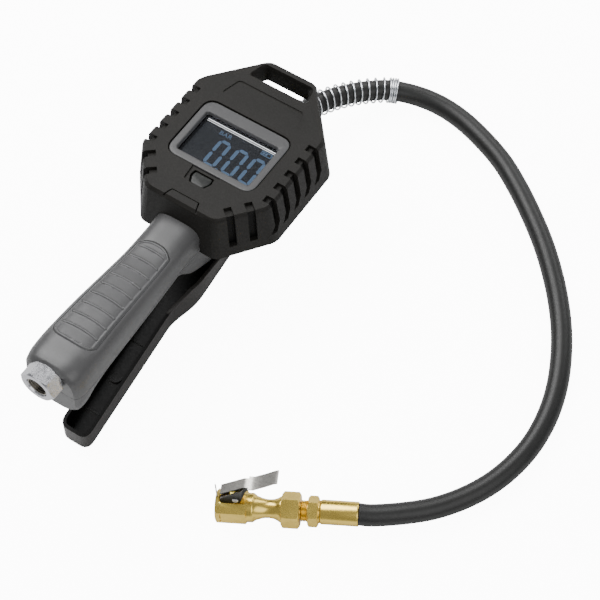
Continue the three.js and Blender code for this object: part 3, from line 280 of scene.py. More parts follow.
def loft(rings, closed=False):
    bm = bmesh.new()
    loops = []
    for ring in rings:
        verts = [bm.verts.new(p) for p in ring]
        loops.append([bm.edges.new((verts[i - 1], verts[i])) for i in range(len(verts))])
    pairs = list(zip(loops, loops[1:]))
    if closed:
        pairs.append((loops[-1], loops[0]))
    for a, b in pairs:
        bmesh.ops.bridge_loops(bm, edges=a + b)
    if not closed:
        for loop in (loops[0], loops[-1]):
            bmesh.ops.contextual_create(bm, geom=loop)
    bmesh.ops.recalc_face_normals(bm, faces=bm.faces)
    return bm


def at_height(points, z):
    return [Vector((p.x, p.y, z)) for p in points]


def prism(points, z0, z1):
    return loft([at_height([Vector(p).to_3d() for p in points], z) for z in (z0, z1)])


def across(outline, x0, x1):
    """A prism of a side outline of (y, z) points, from x0 to x1."""
    return loft([[Vector((x, y, z)) for y, z in outline] for x in (x0, x1)])


def block(x0, x1, y0, y1, z0, z1):
    return prism([(x0, y0), (x1, y0), (x1, y1), (x0, y1)], z0, z1)

print("corner points of a rounded square", len(rounded([(0, 0), (9, 0), (9, 9), (0, 9)], 2)))

# %% [markdown]
# Holes and pockets are cut with the Boolean modifier's exact solver. The helper puts
# both shapes in short-lived objects, reads the result back and deletes them, so a cut
# is one line and leaves nothing behind.

# %% Cutting and joining
def as_object(bm, name="scratch"):
    mesh = bpy.data.meshes.new(name)
    bm.to_mesh(mesh)
    made = bpy.data.objects.new(name, mesh)
    bpy.context.scene.collection.objects.link(made)
    return made


def combine(base, tools, how="DIFFERENCE"):
    solid = as_object(base)
    helpers = [as_object(tool) for tool in tools]
    for helper in helpers:
        step = solid.modifiers.new("cut", "BOOLEAN")
        step.operation = how
        step.solver = "EXACT"
        step.object = helper
    bpy.context.view_layer.update()
    result = bmesh.new()
    result.from_mesh(solid.evaluated_get(bpy.context.evaluated_depsgraph_get()).to_mesh())
    for scratch in [solid, *helpers]:
        mesh = scratch.data
        bpy.data.objects.remove(scratch)
        bpy.data.meshes.remove(mesh)
    for bm in [base, *tools]:
        bm.free()
    bmesh.ops.remove_doubles(result, verts=result.verts, dist=0.001)
    bmesh.ops.dissolve_limit(result, angle_limit=math.radians(0.5), verts=result.verts, edges=result.edges)
    return result


def together(*parts):
    """Several closed shapes kept side by side in one mesh."""
    whole = bmesh.new()
    for part in parts:
        mesh = bpy.data.meshes.new("part")
        part.to_mesh(mesh)
        whole.from_mesh(mesh)
        bpy.data.meshes.remove(mesh)
        part.free()
    return whole

# %% [markdown]
# A finished piece gets its place, its body, its finish and soft edges. The Bevel
# modifier rounds every edge sharper than its limit by a fraction of a millimetre: a
# real moulding has no sharp edges, and the rounding catches the light. Where a piece
# has no flat faces, only the shading is smoothed.

# %% Placing a piece
def piece(name, bm, place, body, nodes=(), slot=None, soft=0.3, segments=3, limit=38.0, recalc=True):
    bm.transform(place)
    if recalc:
        bmesh.ops.recalc_face_normals(bm, faces=bm.faces)
    made = as_object(bm, name)
    bm.free()
    mesh = made.data
    mesh.shade_smooth()
    if soft:
        round_edges = made.modifiers.new("soft edges", "BEVEL")
        round_edges.width = soft * MM
        round_edges.segments = segments
        round_edges.limit_method = "ANGLE"
        round_edges.angle_limit = math.radians(limit)
        round_edges.face_strength_mode = "FSTR_AFFECTED"
        even_faces = made.modifiers.new("even faces", "WEIGHTED_NORMAL")
        even_faces.keep_sharp = True
        even_faces.use_face_influence = True
    else:
        mesh.set_sharp_from_angle(angle=math.radians(limit))
    slot = slot or SLOTS[nodes[0]]
    mesh.materials.append(FINISH[slot])
    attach(made, body)
    if nodes:
        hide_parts(*nodes)
    print(name, len(mesh.polygons), "faces")
    return made


def second_finish(made, slot, chosen):
    """Gives some of a piece's faces another finish: chosen is asked about each one's centre and normal."""
    made.data.materials.append(FINISH[slot])
    faces = [f for f in made.data.polygons if chosen(f.center, f.normal)]
    for face in faces:
        face.material_index = 1
    print(made.name, len(faces), "faces in", slot)

# %% [markdown]
# ## The rubber boot
# The gauge head sits in a thick rubber boot, an octagon that flares towards the back.
# It is lofted through three outlines, and its upright edges are rounded with the bevel
# operator. The first outline is a little smaller, which gives the worn front edge.

# %% Boot shape
BOOT_CORNERS = {"top": (15.5, 102.1), "high": (42.3, 70.2), "low": (42.3, 15.1), "foot": (22.8, -9.1)}
BOOT_DEPTH, BOOT_FLARE, BOOT_WALL = 29.0, 4.4, 3.0


def octagon(z, inset):
    grow = BOOT_FLARE * -z / BOOT_DEPTH - inset
    slope = grow * 0.9
    (tx, ty), (hx, hy), (lx, ly), (fx, fy) = BOOT_CORNERS.values()
    top, foot = (tx + slope * 0.4, ty + slope * 0.3 - inset * 0.7), (fx + slope * 0.6, fy - grow)
    half = [top, (hx + grow, hy), (lx + grow, ly), foot]
    return [Vector((x, y, z)) for x, y in half] + [Vector((-x, y, z)) for x, y in reversed(half)]


def octagon_block(levels, corner=3.0):
    bm = loft([octagon(z, inset) for z, inset in levels])
    upright = [e for e in bm.edges if abs((e.verts[0].co - e.verts[1].co).z) > 0.1 and
               (e.verts[0].co.xy - e.verts[1].co.xy).length < 6]
    bmesh.ops.bevel(bm, geom=upright, offset=corner, segments=5, affect="EDGES", profile=0.5, material=-1)
    return bm

boot = octagon_block([(0, 1.3), (-1.7, -0.1), (-BOOT_DEPTH, 0)])
print("boot blank", len(boot.faces), "faces")

# %% [markdown]
# Behind the front skin the boot is hollow for the gauge. The front has the bezel's
# recess, a shallow tray with the button's hole, a blank name plate and the hanging
# slot, whose sides slope in like a funnel. The slot's lower lip is what a hook holds.

# %% Openings of the boot
BUTTON = [(-5.7, 14.3), (5.7, 14.3), (6.1, 11.0), (4.0, 6.5), (-4.0, 6.5), (-6.1, 11.0)]


def button_outline(grow):
    middle = Vector((0, 10.2))
    grown = [Vector(p) + (Vector(p) - middle).normalized() * grow * 1.25 for p in BUTTON]
    return rounded(grown, 0.8)


def loop_outline(grow, z):
    low, high = 18.1 + grow, 14.8 + grow
    y_low, y_high = 87.4 - grow * 0.5, 97.2 + grow * 0.5
    return at_height(rounded([(-low, y_low), (low, y_low), (high, y_high), (-high, y_high)], 2.4), z)

cavity = octagon_block([(-2.6, BOOT_WALL), (-31, BOOT_WALL)])
hollow = combine(cavity, [block(-60, 60, -40, 84.4, -40, 0)], "INTERSECT")
tray = rounded([(-8.2, 6.2), (8.2, 6.2), (9.4, 19.5), (-9.4, 19.5)], 1.4)
openings = [
    hollow,
    prism(rectangle(58.2, 44.2, 38.4, 6.0), -5, 2),
    prism(tray, -1.0, 2),
    prism(button_outline(0.7), -5, 2),
    loft([loop_outline(2.4, 0.8), loop_outline(0.2, -2.6), loop_outline(0, -32)]),
    block(-60, 60, 87.4, 120, -40, -12),
    prism(rounded([(-25.3, 67.4), (25.3, 67.4), (21.6, 80.2), (-21.6, 80.2)], 2.2), -0.55, 2),
]
boot = combine(boot, openings)
print("boot with its openings", len(boot.faces), "faces")

# %% [markdown]
# Slots are moulded over the edges of the boot for grip: five on each side, and two on
# each lower slope. Each cutter runs down the wall and slants at its lower end. The
# slot's floor follows the flare, so the floor block is taken from all cutters at once.

# %% Grip slots
SLOT_HALF = 2.25


def side_slot(side, y):
    w = SLOT_HALF
    foot = y - 3.6
    outline = [(y - w, 1), (y + w, 1), (y + w, -16.5), (foot + w, -22), (foot - w, -22), (y - w, -16.5)]
    return across(outline, *sorted((side * 36.4, side * 50)))


def slope_slot(side, t):
    (lx, ly), (fx, fy) = BOOT_CORNERS["low"], BOOT_CORNERS["foot"]
    slope = math.atan2(lx - fx, ly - fy)
    bm = block(-SLOT_HALF, SLOT_HALF, -7, 7, -22, 1)
    bm.transform(Matrix.Translation((side * (fx + (lx - fx) * t), fy + (ly - fy) * t, 0))
                 @ Matrix.Rotation(side * (math.pi / 2 - slope), 4, "Z"))
    return bm

cutters = [side_slot(side, 19.2 + 10.4 * i) for side in (1, -1) for i in range(5)]
cutters += [slope_slot(side, t) for side in (1, -1) for t in (0.3, 0.68)]
slots = combine(together(*cutters), [octagon_block([(-2.2, 3.15), (-BOOT_DEPTH - 1, 3.15)], 1.5)])
boot = combine(boot, [slots])
print("boot with slots", len(boot.faces), "faces")

# %% [markdown]
# ## The handle's sections
# The handle is a rounded box that swells towards the air inlet. Each station gives a
# place along the tool, a half width, and the height of the top and the bottom. The
# section is a superellipse: with an exponent of 2 it would be an ellipse, and a higher
# one squares it up. Between stations the sizes are eased with a Catmull-Rom curve.

# %% Handle sections
STATIONS = [
    (15, 14.6, -13.6, -33.5), (-10, 14.5, -13.6, -33.5), (-25, 14.5, -14.0, -34.2),
    (-42, 15.0, -13.9, -36.0), (-60, 16.0, -12.2, -36.4), (-80, 17.2, -10.4, -36.0),
    (-100, 18.0, -9.2, -36.4), (-112, 18.3, -8.4, -39.4), (-120, 18.2, -8.3, -44.6),
    (-125, 17.2, -9.4, -45.6), (-127, 15.4, -11.2, -43.6),
]
POWER = 3.2


def eased(a, b, c, d, t):
    return b + 0.5 * t * (c - a + t * (2 * a - 5 * b + 4 * c - d + t * (3 * (b - c) + d - a)))


def section_at(y):
    for i in range(len(STATIONS) - 1):
        if STATIONS[i][0] >= y >= STATIONS[i + 1][0]:
            t = (STATIONS[i][0] - y) / (STATIONS[i][0] - STATIONS[i + 1][0])
            around = [STATIONS[min(max(k, 0), len(STATIONS) - 1)] for k in (i - 1, i, i + 1, i + 2)]
            return [eased(*(s[n] for s in around), t) for n in (1, 2, 3)]
    return STATIONS[0][1:] if y > 0 else STATIONS[-1][1:]


def handle_ring(y, grow=0.0, sides=72):
    half, top, bottom = section_at(y)
    a, b, z = half + grow, (top - bottom) / 2 + grow, (top + bottom) / 2
    ring = []
    for i in range(sides):
        c, s = math.cos(2 * math.pi * i / sides), math.sin(2 * math.pi * i / sides)
        out = math.copysign(abs(c) ** (2 / POWER) * a, c)
        over = math.copysign(abs(s) ** (2 / POWER) * b, s)
        ring.append(Vector((out, y, z + over)))
    return ring


def handle_solid(grow, y_first=15.0, y_last=-127.0):
    steps = [y_first - (y_first + 118) * i / 34 for i in range(35)]
    steps += [-120, -122, -123.6, -125, -126.2, -127]
    return loft([handle_ring(y, grow) for y in steps if y >= y_last])


def skin_height(x, y):
    """How high the top of the handle is at a place."""
    half, top, bottom = section_at(y)
    b = (top - bottom) / 2
    return (top + bottom) / 2 + b * max(0.0, 1 - abs(x / half) ** POWER) ** (1 / POWER)

print("section at the grip", [round(v, 2) for v in section_at(-70)])

# %% [markdown]
# The boot grips the handle where it comes out, so its lower wall is cut by the handle
# itself, made a little larger. Two fine notches mark the flap over the neck.

# %% Boot, finished
neck = loft([handle_ring(y, 0.3) for y in (35, 15, 0, -10, -20, -30)])
neck = combine(neck, [block(-40, 40, -30, 40, -60, 0)], "INTERSECT")
notches = []
for side in (1, -1):
    line = [(side * 8.3, -3.2), (side * 9.1, -3.0), (side * 12.9, -13.8), (side * 12.1, -14.0)]
    notches.append(prism(line, -1.6, 2))
flap_top = block(-8.4, 8.4, -3.6, -3.0, -0.7, 2)
boot = combine(boot, [neck, block(-14.9, 14.9, -30, -1.1, -32, -24), *notches, flap_top])
piece("boot_visual", boot, TOOL, "tool", ["boot"], soft=0.55, segments=4)

# %% [markdown]
# ## The handle
# The upper half of the handle is a thin grey shell that meets the lower half along a
# seam. The loft is cut at the seam with bisect_plane, its walls are made with the
# solidify operator, and the pocket of the grip pad is cut from it.

# %% Grip patch helper
SEAM_Z = -27.5


def patch(grow, low, high, along=150, over=28):
    """A pad-shaped slab on the handle: low and high are heights over its skin."""
    top = bmesh.new()
    bmesh.ops.create_grid(top, x_segments=over, y_segments=along, size=1)
    bottom = {}
    for vert in top.verts:
        u, v = vert.co.x, (vert.co.y + 1) / 2
        y_high = -29.6 + grow - 5.2 * abs(u) ** 2.6
        y_low = -108.0 - grow + 5.0 * abs(u) ** 6
        y = y_low + (y_high - y_low) * v
        w = 13.7 + (10.8 - 13.7) * v + grow
        x = u * w
        vert.co = (x, y, skin_height(x, y) + high(u, v, y) if callable(high) else skin_height(x, y) + high)
    lifted = bmesh.ops.extrude_face_region(top, geom=top.faces[:])
    for vert in [g for g in lifted["geom"] if isinstance(g, bmesh.types.BMVert)]:
        vert.co.z = skin_height(vert.co.x, vert.co.y) + low
    bmesh.ops.recalc_face_normals(top, faces=top.faces)
    return top

# %% Upper shell
def half_handle(upper, wall=2.4):
    bm = handle_solid(0)
    ends = [f for f in bm.faces if all(abs(v.co.y - 15) < 1e-4 for v in f.verts)]
    bmesh.ops.delete(bm, geom=ends, context="FACES")
    plane = SEAM_Z + (0.15 if upper else -0.15)
    geom = bm.verts[:] + bm.edges[:] + bm.faces[:]
    bmesh.ops.bisect_plane(bm, geom=geom, plane_co=(0, 0, plane), plane_no=(0, 0, 1),
                           clear_inner=upper, clear_outer=not upper)
    bmesh.ops.recalc_face_normals(bm, faces=bm.faces)
    outward = max(bm.faces, key=lambda f: abs(f.calc_center_median().z - SEAM_Z))
    if (outward.normal.z > 0) != upper:
        bmesh.ops.reverse_faces(bm, faces=bm.faces)
    bmesh.ops.solidify(bm, geom=bm.faces[:], thickness=wall)
    return bm


def rod(axis, a0, a1, b, c, radius, sides=48):
    """A round bar along one axis, at the two other coordinates in order."""
    bm = bmesh.new()
    bmesh.ops.create_cone(bm, cap_ends=True, segments=sides, radius1=radius, radius2=radius, depth=a1 - a0)
    quarter = math.pi / 2
    turns = {"z": Matrix(), "x": Matrix.Rotation(quarter, 4, "Y"), "y": Matrix.Rotation(-quarter, 4, "X")}
    mid = (a0 + a1) / 2
    place = {"z": (b, c, mid), "x": (mid, b, c), "y": (b, mid, c)}[axis]
    bm.transform(Matrix.Translation(place) @ turns[axis])
    return bm

INLET_Z = -15.4
upper = combine(half_handle(True), [patch(0.18, -1.25, 4, 150, 48), rod("y", -140, -110, 0, INLET_Z, 5.2)])
piece("handle_upper", upper, TOOL, "tool", ["body_front_shell"], soft=0.3, limit=50)

# %% [markdown]
# The grip pad is set in the top of the handle. Nine low ridges run across it and one
# more follows its rim. The ridges are curved slightly, so the height of the pad is
# worked out from the place on a fine grid: how far it is from the nearest ridge, and
# how far from the rim.

# %% Grip pad
def wave(u, v, y):
    place = (-35.0 - y - 1.2 * u * u) / 7.9
    from_ridge = abs(place - round(place)) * 7.9
    ridge = 0.5 * max(0.0, 1 - (from_ridge / 0.8) ** 2) if abs(u) < 0.84 and 0.04 < v < 0.95 else 0.0
    from_rim = min((1 - abs(u)) * 12.5, (1 - v) * 78, v * 78)
    border = 0.45 * max(0.0, 1 - ((from_rim - 1.15) / 0.85) ** 2)
    return 0.04 + max(ridge, border) - 0.3 * max(0.0, 1 - from_rim / 0.35)

piece("grip_pad_visual", patch(0, -1.0, wave, 300, 64), TOOL, "tool", ["grip_pad"], soft=0)

# %% [markdown]
# Under the seam the rear shell carries the valve boss, between the ears of the lever,
# and the box for the battery behind the head. The boss swells out of the underside of
# the handle, so it is a loft whose sections grow deeper, and it is hollow for the
# valves. Four posts take the screws. All these shapes overlap and are kept in one mesh.

# %% Rear shell
def boss_ring(y, bottom, half=12.3, radius=2.4):
    shoulder = max(-36.5, -29 + (bottom + 29) * 0.35)
    one_side = [(14.1, -29), (half + 0.6, shoulder), (half, bottom)]
    corners = [(-14.1, -29)] + one_side + [(-half, bottom), (-half - 0.6, shoulder)]
    return [Vector((p.x, y, p.y)) for p in rounded(corners, radius)]


def table_at(y):
    return -101.2 + math.tan(TILT) * (y + 118.6)

BOSS = [
    (-33, -34.2), (-29, -36.2), (-25.5, -39.4), (-22.5, -43), (-19, -46.4), (-15.5, -48.9),
    (-11, -51), (-2, -55.2), (4, -56.6), (26, -56.6), (33, -54.2), (39.5, -51),
]
boss = combine(loft([boss_ring(y, z) for y, z in BOSS]),
               [block(-9.9, 9.9, 1.5, 50, -90, -20), rod("x", -30, 30, 31, -51.5, 2.05)])
box_side = [
    (39, -28.9), (83.8, -28.9), (83.8, -29.3), (88, -29.3),
    (88, table_at(88)), (47, table_at(47)), (39, table_at(39) + 9),
]
battery_room = block(-14.9, 14.9, 41.1, 85.9, -90, -31)
hose_hole, tube_hole = rod("y", 78, 100, 0, -42, 5.9), rod("z", -40, -20, 0, 54, 2.5)
hump = combine(across(box_side, -17, 17), [battery_room, hose_hole, tube_hole])
SCREWS = [(side * 8.6, y) for side in (1, -1) for y in (-36, -98)]
lower = combine(half_handle(False), [rod("z", -60, -30, x, y, 2.8, 24) for x, y in SCREWS])
posts = []
for x, y in SCREWS:
    post = combine(rod("z", -50, -27.6, x, y, 4.1, 24), [handle_solid(-0.5)], "INTERSECT")
    posts.append(combine(post, [rod("z", -60, -20, x, y, 1.5, 16), rod("z", -60, -33.6, x, y, 2.8, 24)]))
rear = together(lower, boss, hump, *posts)
piece("handle_rear", rear, TOOL, "tool", ["body_rear_shell"], soft=0.3, limit=50, recalc=False)

# %% [markdown]
# ## The display
# The bezel is a frame with a rounded outline, a flat front and a wall that slopes in to
# the window. Its cross-section is a closed ring, so the loft is closed too: it goes
# from the back over the front and back to where it began.

# %% Bezel
def window(grow, z):
    return at_height(rectangle(47.5 + 2 * grow, 30 + 2 * grow, 36.7, 1.4), z)


def bezel_outer(grow, z):
    return at_height(rectangle(57 + 2 * grow, 43 + 2 * grow, 38.4, 5.5), z)

bezel = loft([
    bezel_outer(0, -2.6), bezel_outer(0, -1.0), bezel_outer(-0.25, -0.55), bezel_outer(-0.9, -0.4),
    window(0.9, -0.4), window(0.45, -0.7), window(0.1, -1.6), window(0, -2.6),
], closed=True)
piece("bezel_visual", bezel, TOOL, "tool", ["bezel"], soft=0.12, limit=30)
piece("window", prism(rectangle(49.8, 32.3, 36.7, 1.2), -4.6, -2.9), TOOL, "tool", ["lens"], soft=0.15)

# %% [markdown]
# The display is dark with pale digits. Each digit is made of bars with pointed ends,
# as on any seven-segment display, laid a few hundredths of a millimetre over the panel.
# A small unit label and a battery mark stand above them, and nothing else is written.

# %% Display panel and digits
PANEL_Z = -5.7
INK_LOW, INK_HIGH = PANEL_Z + 0.03, PANEL_Z + 0.1
DIGIT_HALF, DIGIT_LOW, DIGIT_HIGH, BAR = 4.2, 23.4, 43.3, 1.05
panel_block = prism(rectangle(50.7, 33.2, 36.7, 1.2), -8.1, PANEL_Z)
piece("display_panel", panel_block, TOOL, "tool", ["lcd_panel"], soft=0.15)


def bar(x0, y0, x1, y1):
    """A bar with pointed ends from one place to another."""
    start, end = Vector((x0, y0)), Vector((x1, y1))
    along = (end - start).normalized()
    side = Vector((-along.y, along.x)) * BAR
    gap = along * 0.25
    shoulder = along * BAR
    outline = [start + gap, start + gap + shoulder + side, end - gap - shoulder + side, end - gap,
               end - gap - shoulder - side, start + gap + shoulder - side]
    return prism(outline, INK_LOW, INK_HIGH)


def zero(x):
    start, end = x - DIGIT_HALF + BAR, x + DIGIT_HALF - BAR
    low, middle, high = DIGIT_LOW + BAR, (DIGIT_LOW + DIGIT_HIGH) / 2, DIGIT_HIGH - BAR
    level = [bar(start, y, end, y) for y in (low, high)]
    return level + [bar(at, y0, at, y1) for at in (start, end) for y0, y1 in ((low, middle), (middle, high))]

marks = [shape for x in (-4.9, 6.85, 18.15) for shape in zero(x)]
point = prism(rectangle(1.6, 1.6, 23.9, 0.2, 2), INK_LOW, INK_HIGH)
point.transform(Matrix.Translation((0.8, 0, 0)))
marks.append(point)


def box_outline(x0, x1, y0, y1):
    return [Vector(p) for p in ((x0, y0), (x1, y0), (x1, y1), (x0, y1))]

outer, inner = box_outline(15, 21.6, 46.3, 49.3), box_outline(15.5, 21.1, 46.8, 48.8)
levels = [(outer, INK_LOW), (outer, INK_HIGH), (inner, INK_HIGH), (inner, INK_LOW)]
marks.append(loft([at_height(ring, z) for ring, z in levels], closed=True))
cells = ((21.8, 22.5), (15.9, 17.2), (17.6, 18.9))
marks += [block(x0, x1, 47.1, 48.5, INK_LOW, INK_HIGH) for x0, x1 in cells]
print("display marks", len(marks))

# %% [markdown]
# The unit label is a text object turned into a mesh before it is placed. The digits
# glow faintly, because the display is lit from behind, so their finish adds emission
# to the same noise-varied colour.

# %% Unit label and the glow
label_curve = bpy.data.curves.new("unit", "FONT")
label_curve.body = "BAR"
label_curve.size = 3.9
label_curve.extrude = 0.03
label = bpy.data.objects.new("unit", label_curve)
bpy.context.scene.collection.objects.link(label)
bpy.context.view_layer.update()
unit = bmesh.new()
unit.from_mesh(label.evaluated_get(bpy.context.evaluated_depsgraph_get()).to_mesh())
bpy.data.objects.remove(label)
unit.transform(Matrix.Translation((-12.4, 45.4, PANEL_Z + 0.07)) @ Matrix.Diagonal((1.15, 1, 1, 1)))
glow = finish("digit_glow", (0.045, 0.075, 0.125), 0.4, spread=0.1, bump=0.0, shine=0.1)
shader = glow.node_tree.nodes["Principled BSDF"]
shader.inputs["Emission Color"].default_value = (0.36, 0.62, 1.0, 1)
shader.inputs["Emission Strength"].default_value = 0.17
FINISH["digit_glow"] = glow
digits = piece("digits", together(*marks, unit), TOOL, "tool", slot="digit_glow", soft=0)

# %% [markdown]
# The polished upper edge of the window pipes light along itself, and shows as a bright
# double line at the top of the display. Two thin glowing strips just in front of the
# panel are a painted highlight that stands for it.

# %% Painted highlight on the window's edge
# Painted highlight: an emissive finish for the strips along the window's upper edge.
bright = finish("edge_glow", (0.8, 0.82, 0.85), 0.4, spread=0.05, bump=0.0)
shader = bright.node_tree.nodes["Principled BSDF"]
shader.inputs["Emission Color"].default_value = (1, 1, 1, 1)
shader.inputs["Emission Strength"].default_value = 1.6
FINISH["edge_glow"] = bright
levels = ((51.0, 51.45), (49.95, 50.15))
strips = together(*[block(-23.2, 22.8, y0, y1, INK_LOW, PANEL_Z + 0.2) for y0, y1 in levels])
piece("window_edge", strips, TOOL, "tool", slot="edge_glow", soft=0)

# %% [markdown]
# ## The button
# One button sits below the display, a hexagon that narrows towards a flat foot. It is
# lofted with a slightly smaller upper outline, so it is domed like a moulded key.

# %% Button
def key_outline(grow, z):
    return at_height(button_outline(grow), z)

key = loft([key_outline(0, -5.4), key_outline(0, -1.9), key_outline(-0.35, -1.35), key_outline(-1.1, -1.2)])
piece("button_visual", key, TOOL, "key", ["button"], soft=0.2)

# %% [markdown]
# ## The air inlet
# At the end of the handle a bright hexagon nut takes the air line. A hexagon bar is a
# cone primitive with six sides; its corners are turned off by keeping only what lies
# inside a spun, chamfered disc. The thread is a row of V-shaped rings: at this size a
# true helix would look the same and cost far more. The bore is painted darker than the
# outside as shade, since little light gets into it.

# %% Spun shapes and hexagons
def spun(profile, sides=64):
    """A solid of revolution about x from (radius, along) points."""
    bm = bmesh.new()
    verts = [bm.verts.new((along, 0, radius)) for radius, along in profile]
    edges = [bm.edges.new(pair) for pair in zip(verts, verts[1:])]
    bmesh.ops.spin(bm, geom=verts + edges, cent=(0, 0, 0), axis=(1, 0, 0), angle=2 * math.pi,
                   steps=sides, use_merge=True)
    bmesh.ops.remove_doubles(bm, verts=bm.verts, dist=0.0005)
    bmesh.ops.recalc_face_normals(bm, faces=bm.faces)
    return bm


def hex_bar(x0, x1, flats, phase=0.0, chamfer=0.9):
    bm = bmesh.new()
    corner = flats / math.sqrt(3)
    bmesh.ops.create_cone(bm, cap_ends=True, segments=6, radius1=corner, radius2=corner, depth=x1 - x0)
    lay_down = Matrix.Rotation(phase, 4, "X") @ Matrix.Rotation(math.pi / 2, 4, "Y")
    bm.transform(Matrix.Translation(((x0 + x1) / 2, 0, 0)) @ lay_down)
    face, rim = flats / 2, flats * 0.58
    disc = spun([(0, x0), (face, x0), (rim, x0 + chamfer), (rim, x1 - chamfer), (face, x1), (0, x1)], 96)
    return combine(bm, [disc], "INTERSECT")


def thread(x0, x1, crest, root, pitch):
    turns = int((x1 - x0) / pitch)
    profile = []
    for i in range(turns):
        profile += [(root, x0 + i * pitch), (crest, x0 + (i + 0.5) * pitch)]
    return profile + [(root, x0 + turns * pitch)]

inlet_bar = hex_bar(0, 9.7, 19, math.radians(12), 1.1)
bore = spun([(0, -1), (7.1, -1), (6.2, 0.9)] + thread(1.0, 8.2, 6.3, 5.6, 1.2) + [(5.6, 8.6), (0, 8.6)])
nut = combine(inlet_bar, [bore])
shank = spun([(2.6, 8.7), (4.9, 8.7), (4.9, 29), (2.6, 29), (2.6, 8.7)])
inlet = together(nut, shank)
inlet.transform(Matrix.Translation((0, -137, INLET_Z)) @ Matrix.Rotation(math.pi / 2, 4, "Z"))
inlet_piece = piece("inlet_visual", inlet, TOOL, "tool", ["inlet_fitting"], soft=0.15, limit=30)
INLET_AXIS = TOOL @ Vector((0, -137, INLET_Z))
ALONG = (TOOL.to_3x3() @ Vector((0, 1, 0))).normalized()


def in_bore(centre, normal):
    reach = centre - INLET_AXIS
    depth = reach.dot(ALONG)
    return depth > 0.0006 and depth < 0.0089 and (reach - ALONG * depth).length < 0.0068

# The faces inside the bore get the darker copy: painted shade.
second_finish(inlet_piece, "bore_dark", in_bore)

# %% [markdown]
# ## The squeeze lever
# Under the handle a long trough-shaped lever is squeezed to let air through. Seen from
# below it is narrow and widens in an S to two ears that hold the pivot pin, and seen
# from the side it tapers to the tip. Each view gives one prism, and the lever is what
# they share, less the same pair of prisms made smaller. Ribs cross the trough, and the
# moulding tool's ejector pin has left a round mark.

# %% Lever
TIP_Y, TIP_Z = -118.6, -101.2


def lever_plan(inset, z0, z1):
    grip, ear, tip = 9.5 - inset, 15.4 - inset, TIP_Y + inset
    side = []
    for i in range(13):
        t = i / 12
        a, b, c, d = (1 - t) ** 3, 3 * t * (1 - t) ** 2, 3 * t * t * (1 - t), t ** 3
        side.append((grip * (a + b) + ear * (c + d), -41 * a - 31 * b - 26 * c - 13 * d))
    end = rounded([(grip, 0), (grip, tip), (-grip, tip), (-grip, 0)], max(1.2, 6 - inset))
    end = [p for p in end if p.y < -60]
    half = [(x, y) for x, y in side] + [(ear, 43)]
    outline = half + [(-x, y) for x, y in reversed(half)] + [(p.x, p.y) for p in reversed(end)]
    return prism(outline, z0, z1)

FLOOR = [(38, -57.5), (30, -61), (-11, -71.2), (-38, -77.6), (TIP_Y, TIP_Z)]
LIP = [
    (TIP_Y, -89.2), (-38, -65.5), (-22, -56.9), (8, -56.5),
    (20, -50.5), (26, -46.2), (36, -46.2), (38, -48.5),
]
outside = combine(lever_plan(0, -110, -30), [across(FLOOR + LIP, -20, 20)], "INTERSECT")
raised = [(41, -55.3)] + [(y, z + 2.2) for y, z in FLOOR[1:-1]] + [(TIP_Y - 2, TIP_Z + 1.7)]
raised += [(TIP_Y - 2, -30), (41, -30)]
trough = combine(lever_plan(2.0, -112, -28), [across(raised, -20, 20)], "INTERSECT")
lever = combine(outside, [trough, rod("x", -60, 60, 31, -51.5, 2.08)])


def floor_at(y):
    (bend_y, bend_z) = FLOOR[3]
    return bend_z + (y - bend_y) * (bend_z - TIP_Z) / (bend_y - TIP_Y)


def rib(y):
    low, high = floor_at(y) + 1, floor_at(y) + 2.7
    return across([(y - 0.4, low), (y + 0.4, low), (y + 0.4, high), (y - 0.4, high)], -8.4, 8.4)

mark = rod("z", floor_at(-78) + 1, floor_at(-78) + 2.75, 0, -78, 3.6, 32)
striker = block(-5, 5, 10, 27, -66, -57.4)
lever = together(combine(lever, [striker], "UNION"), mark, rib(-100), rib(-56))
lever_piece = piece("lever_visual", lever, TOOL, "trigger", ["lever"], soft=0.35, limit=30)
FLAT = TOOL.inverted()


def in_trough(centre, normal):
    c, n = FLAT @ centre, (FLAT.to_3x3() @ normal).normalized()
    if c.z >= -60 or c.y >= 20 or abs(c.x) >= 14.5:
        return False
    on_floor = n.z > 0.75 and abs(c.x) < 8
    on_wall = n.x * c.x < -0.2
    on_end = abs(n.y) > 0.8 and n.y * (c.y + 60) < 0 and c.y > -117.5
    return on_floor or on_wall or on_end

# The trough's floor, walls and end get the darker copy: painted shade where the walls keep the light out.
second_finish(lever_piece, "lever_inside", in_trough)

# %% [markdown]
# ## The hose
# The hose leaves the back of the head, lies in a loop on the table and ends at the
# chuck. It is one open curve, given a round section by its bevel depth. The route's
# points are those of the CAD, and a centripetal Catmull-Rom curve runs through them,
# because it never overshoots between uneven points. The hose is drawn a little thinner
# than the CAD's ten-sided one, to stay close to its box.

# %% Hose route
HOSE_RADIUS = 6.08
SHIFT = (TOOL @ Vector((0, TIP_Y, TIP_Z))).y - (TIP_Y * math.cos(TILT) + TIP_Z * math.sin(TILT)) * MM
ROUTE = [
    (2.6, 104, 24.0), (8.4, 118, 20.6), (15.6, 129.5, 17.3), (24.2, 139.4, 14.4), (34.0, 147.5, 11.8),
    (48.5, 153.4, 9.2), (64, 155.6, 7.4), (80, 153.9, 6.5), (98, 148.4, 6.3), (114.5, 141.3, 6.2),
    (131, 131, 6.2), (146.5, 119.5, 6.2), (161.2, 107.2, 6.2), (174.7, 93.8, 6.2), (186.9, 79.6, 6.2),
    (197.7, 64.4, 6.2), (206.5, 48.3, 6.2), (213.2, 31.5, 6.2), (217.1, 14.1, 6.2), (217.9, -3.3, 6.2),
    (215.4, -20.1, 6.3), (210, -35.9, 6.5), (202, -50.2, 6.9), (192, -63, 7.6), (180, -74, 8.5),
]


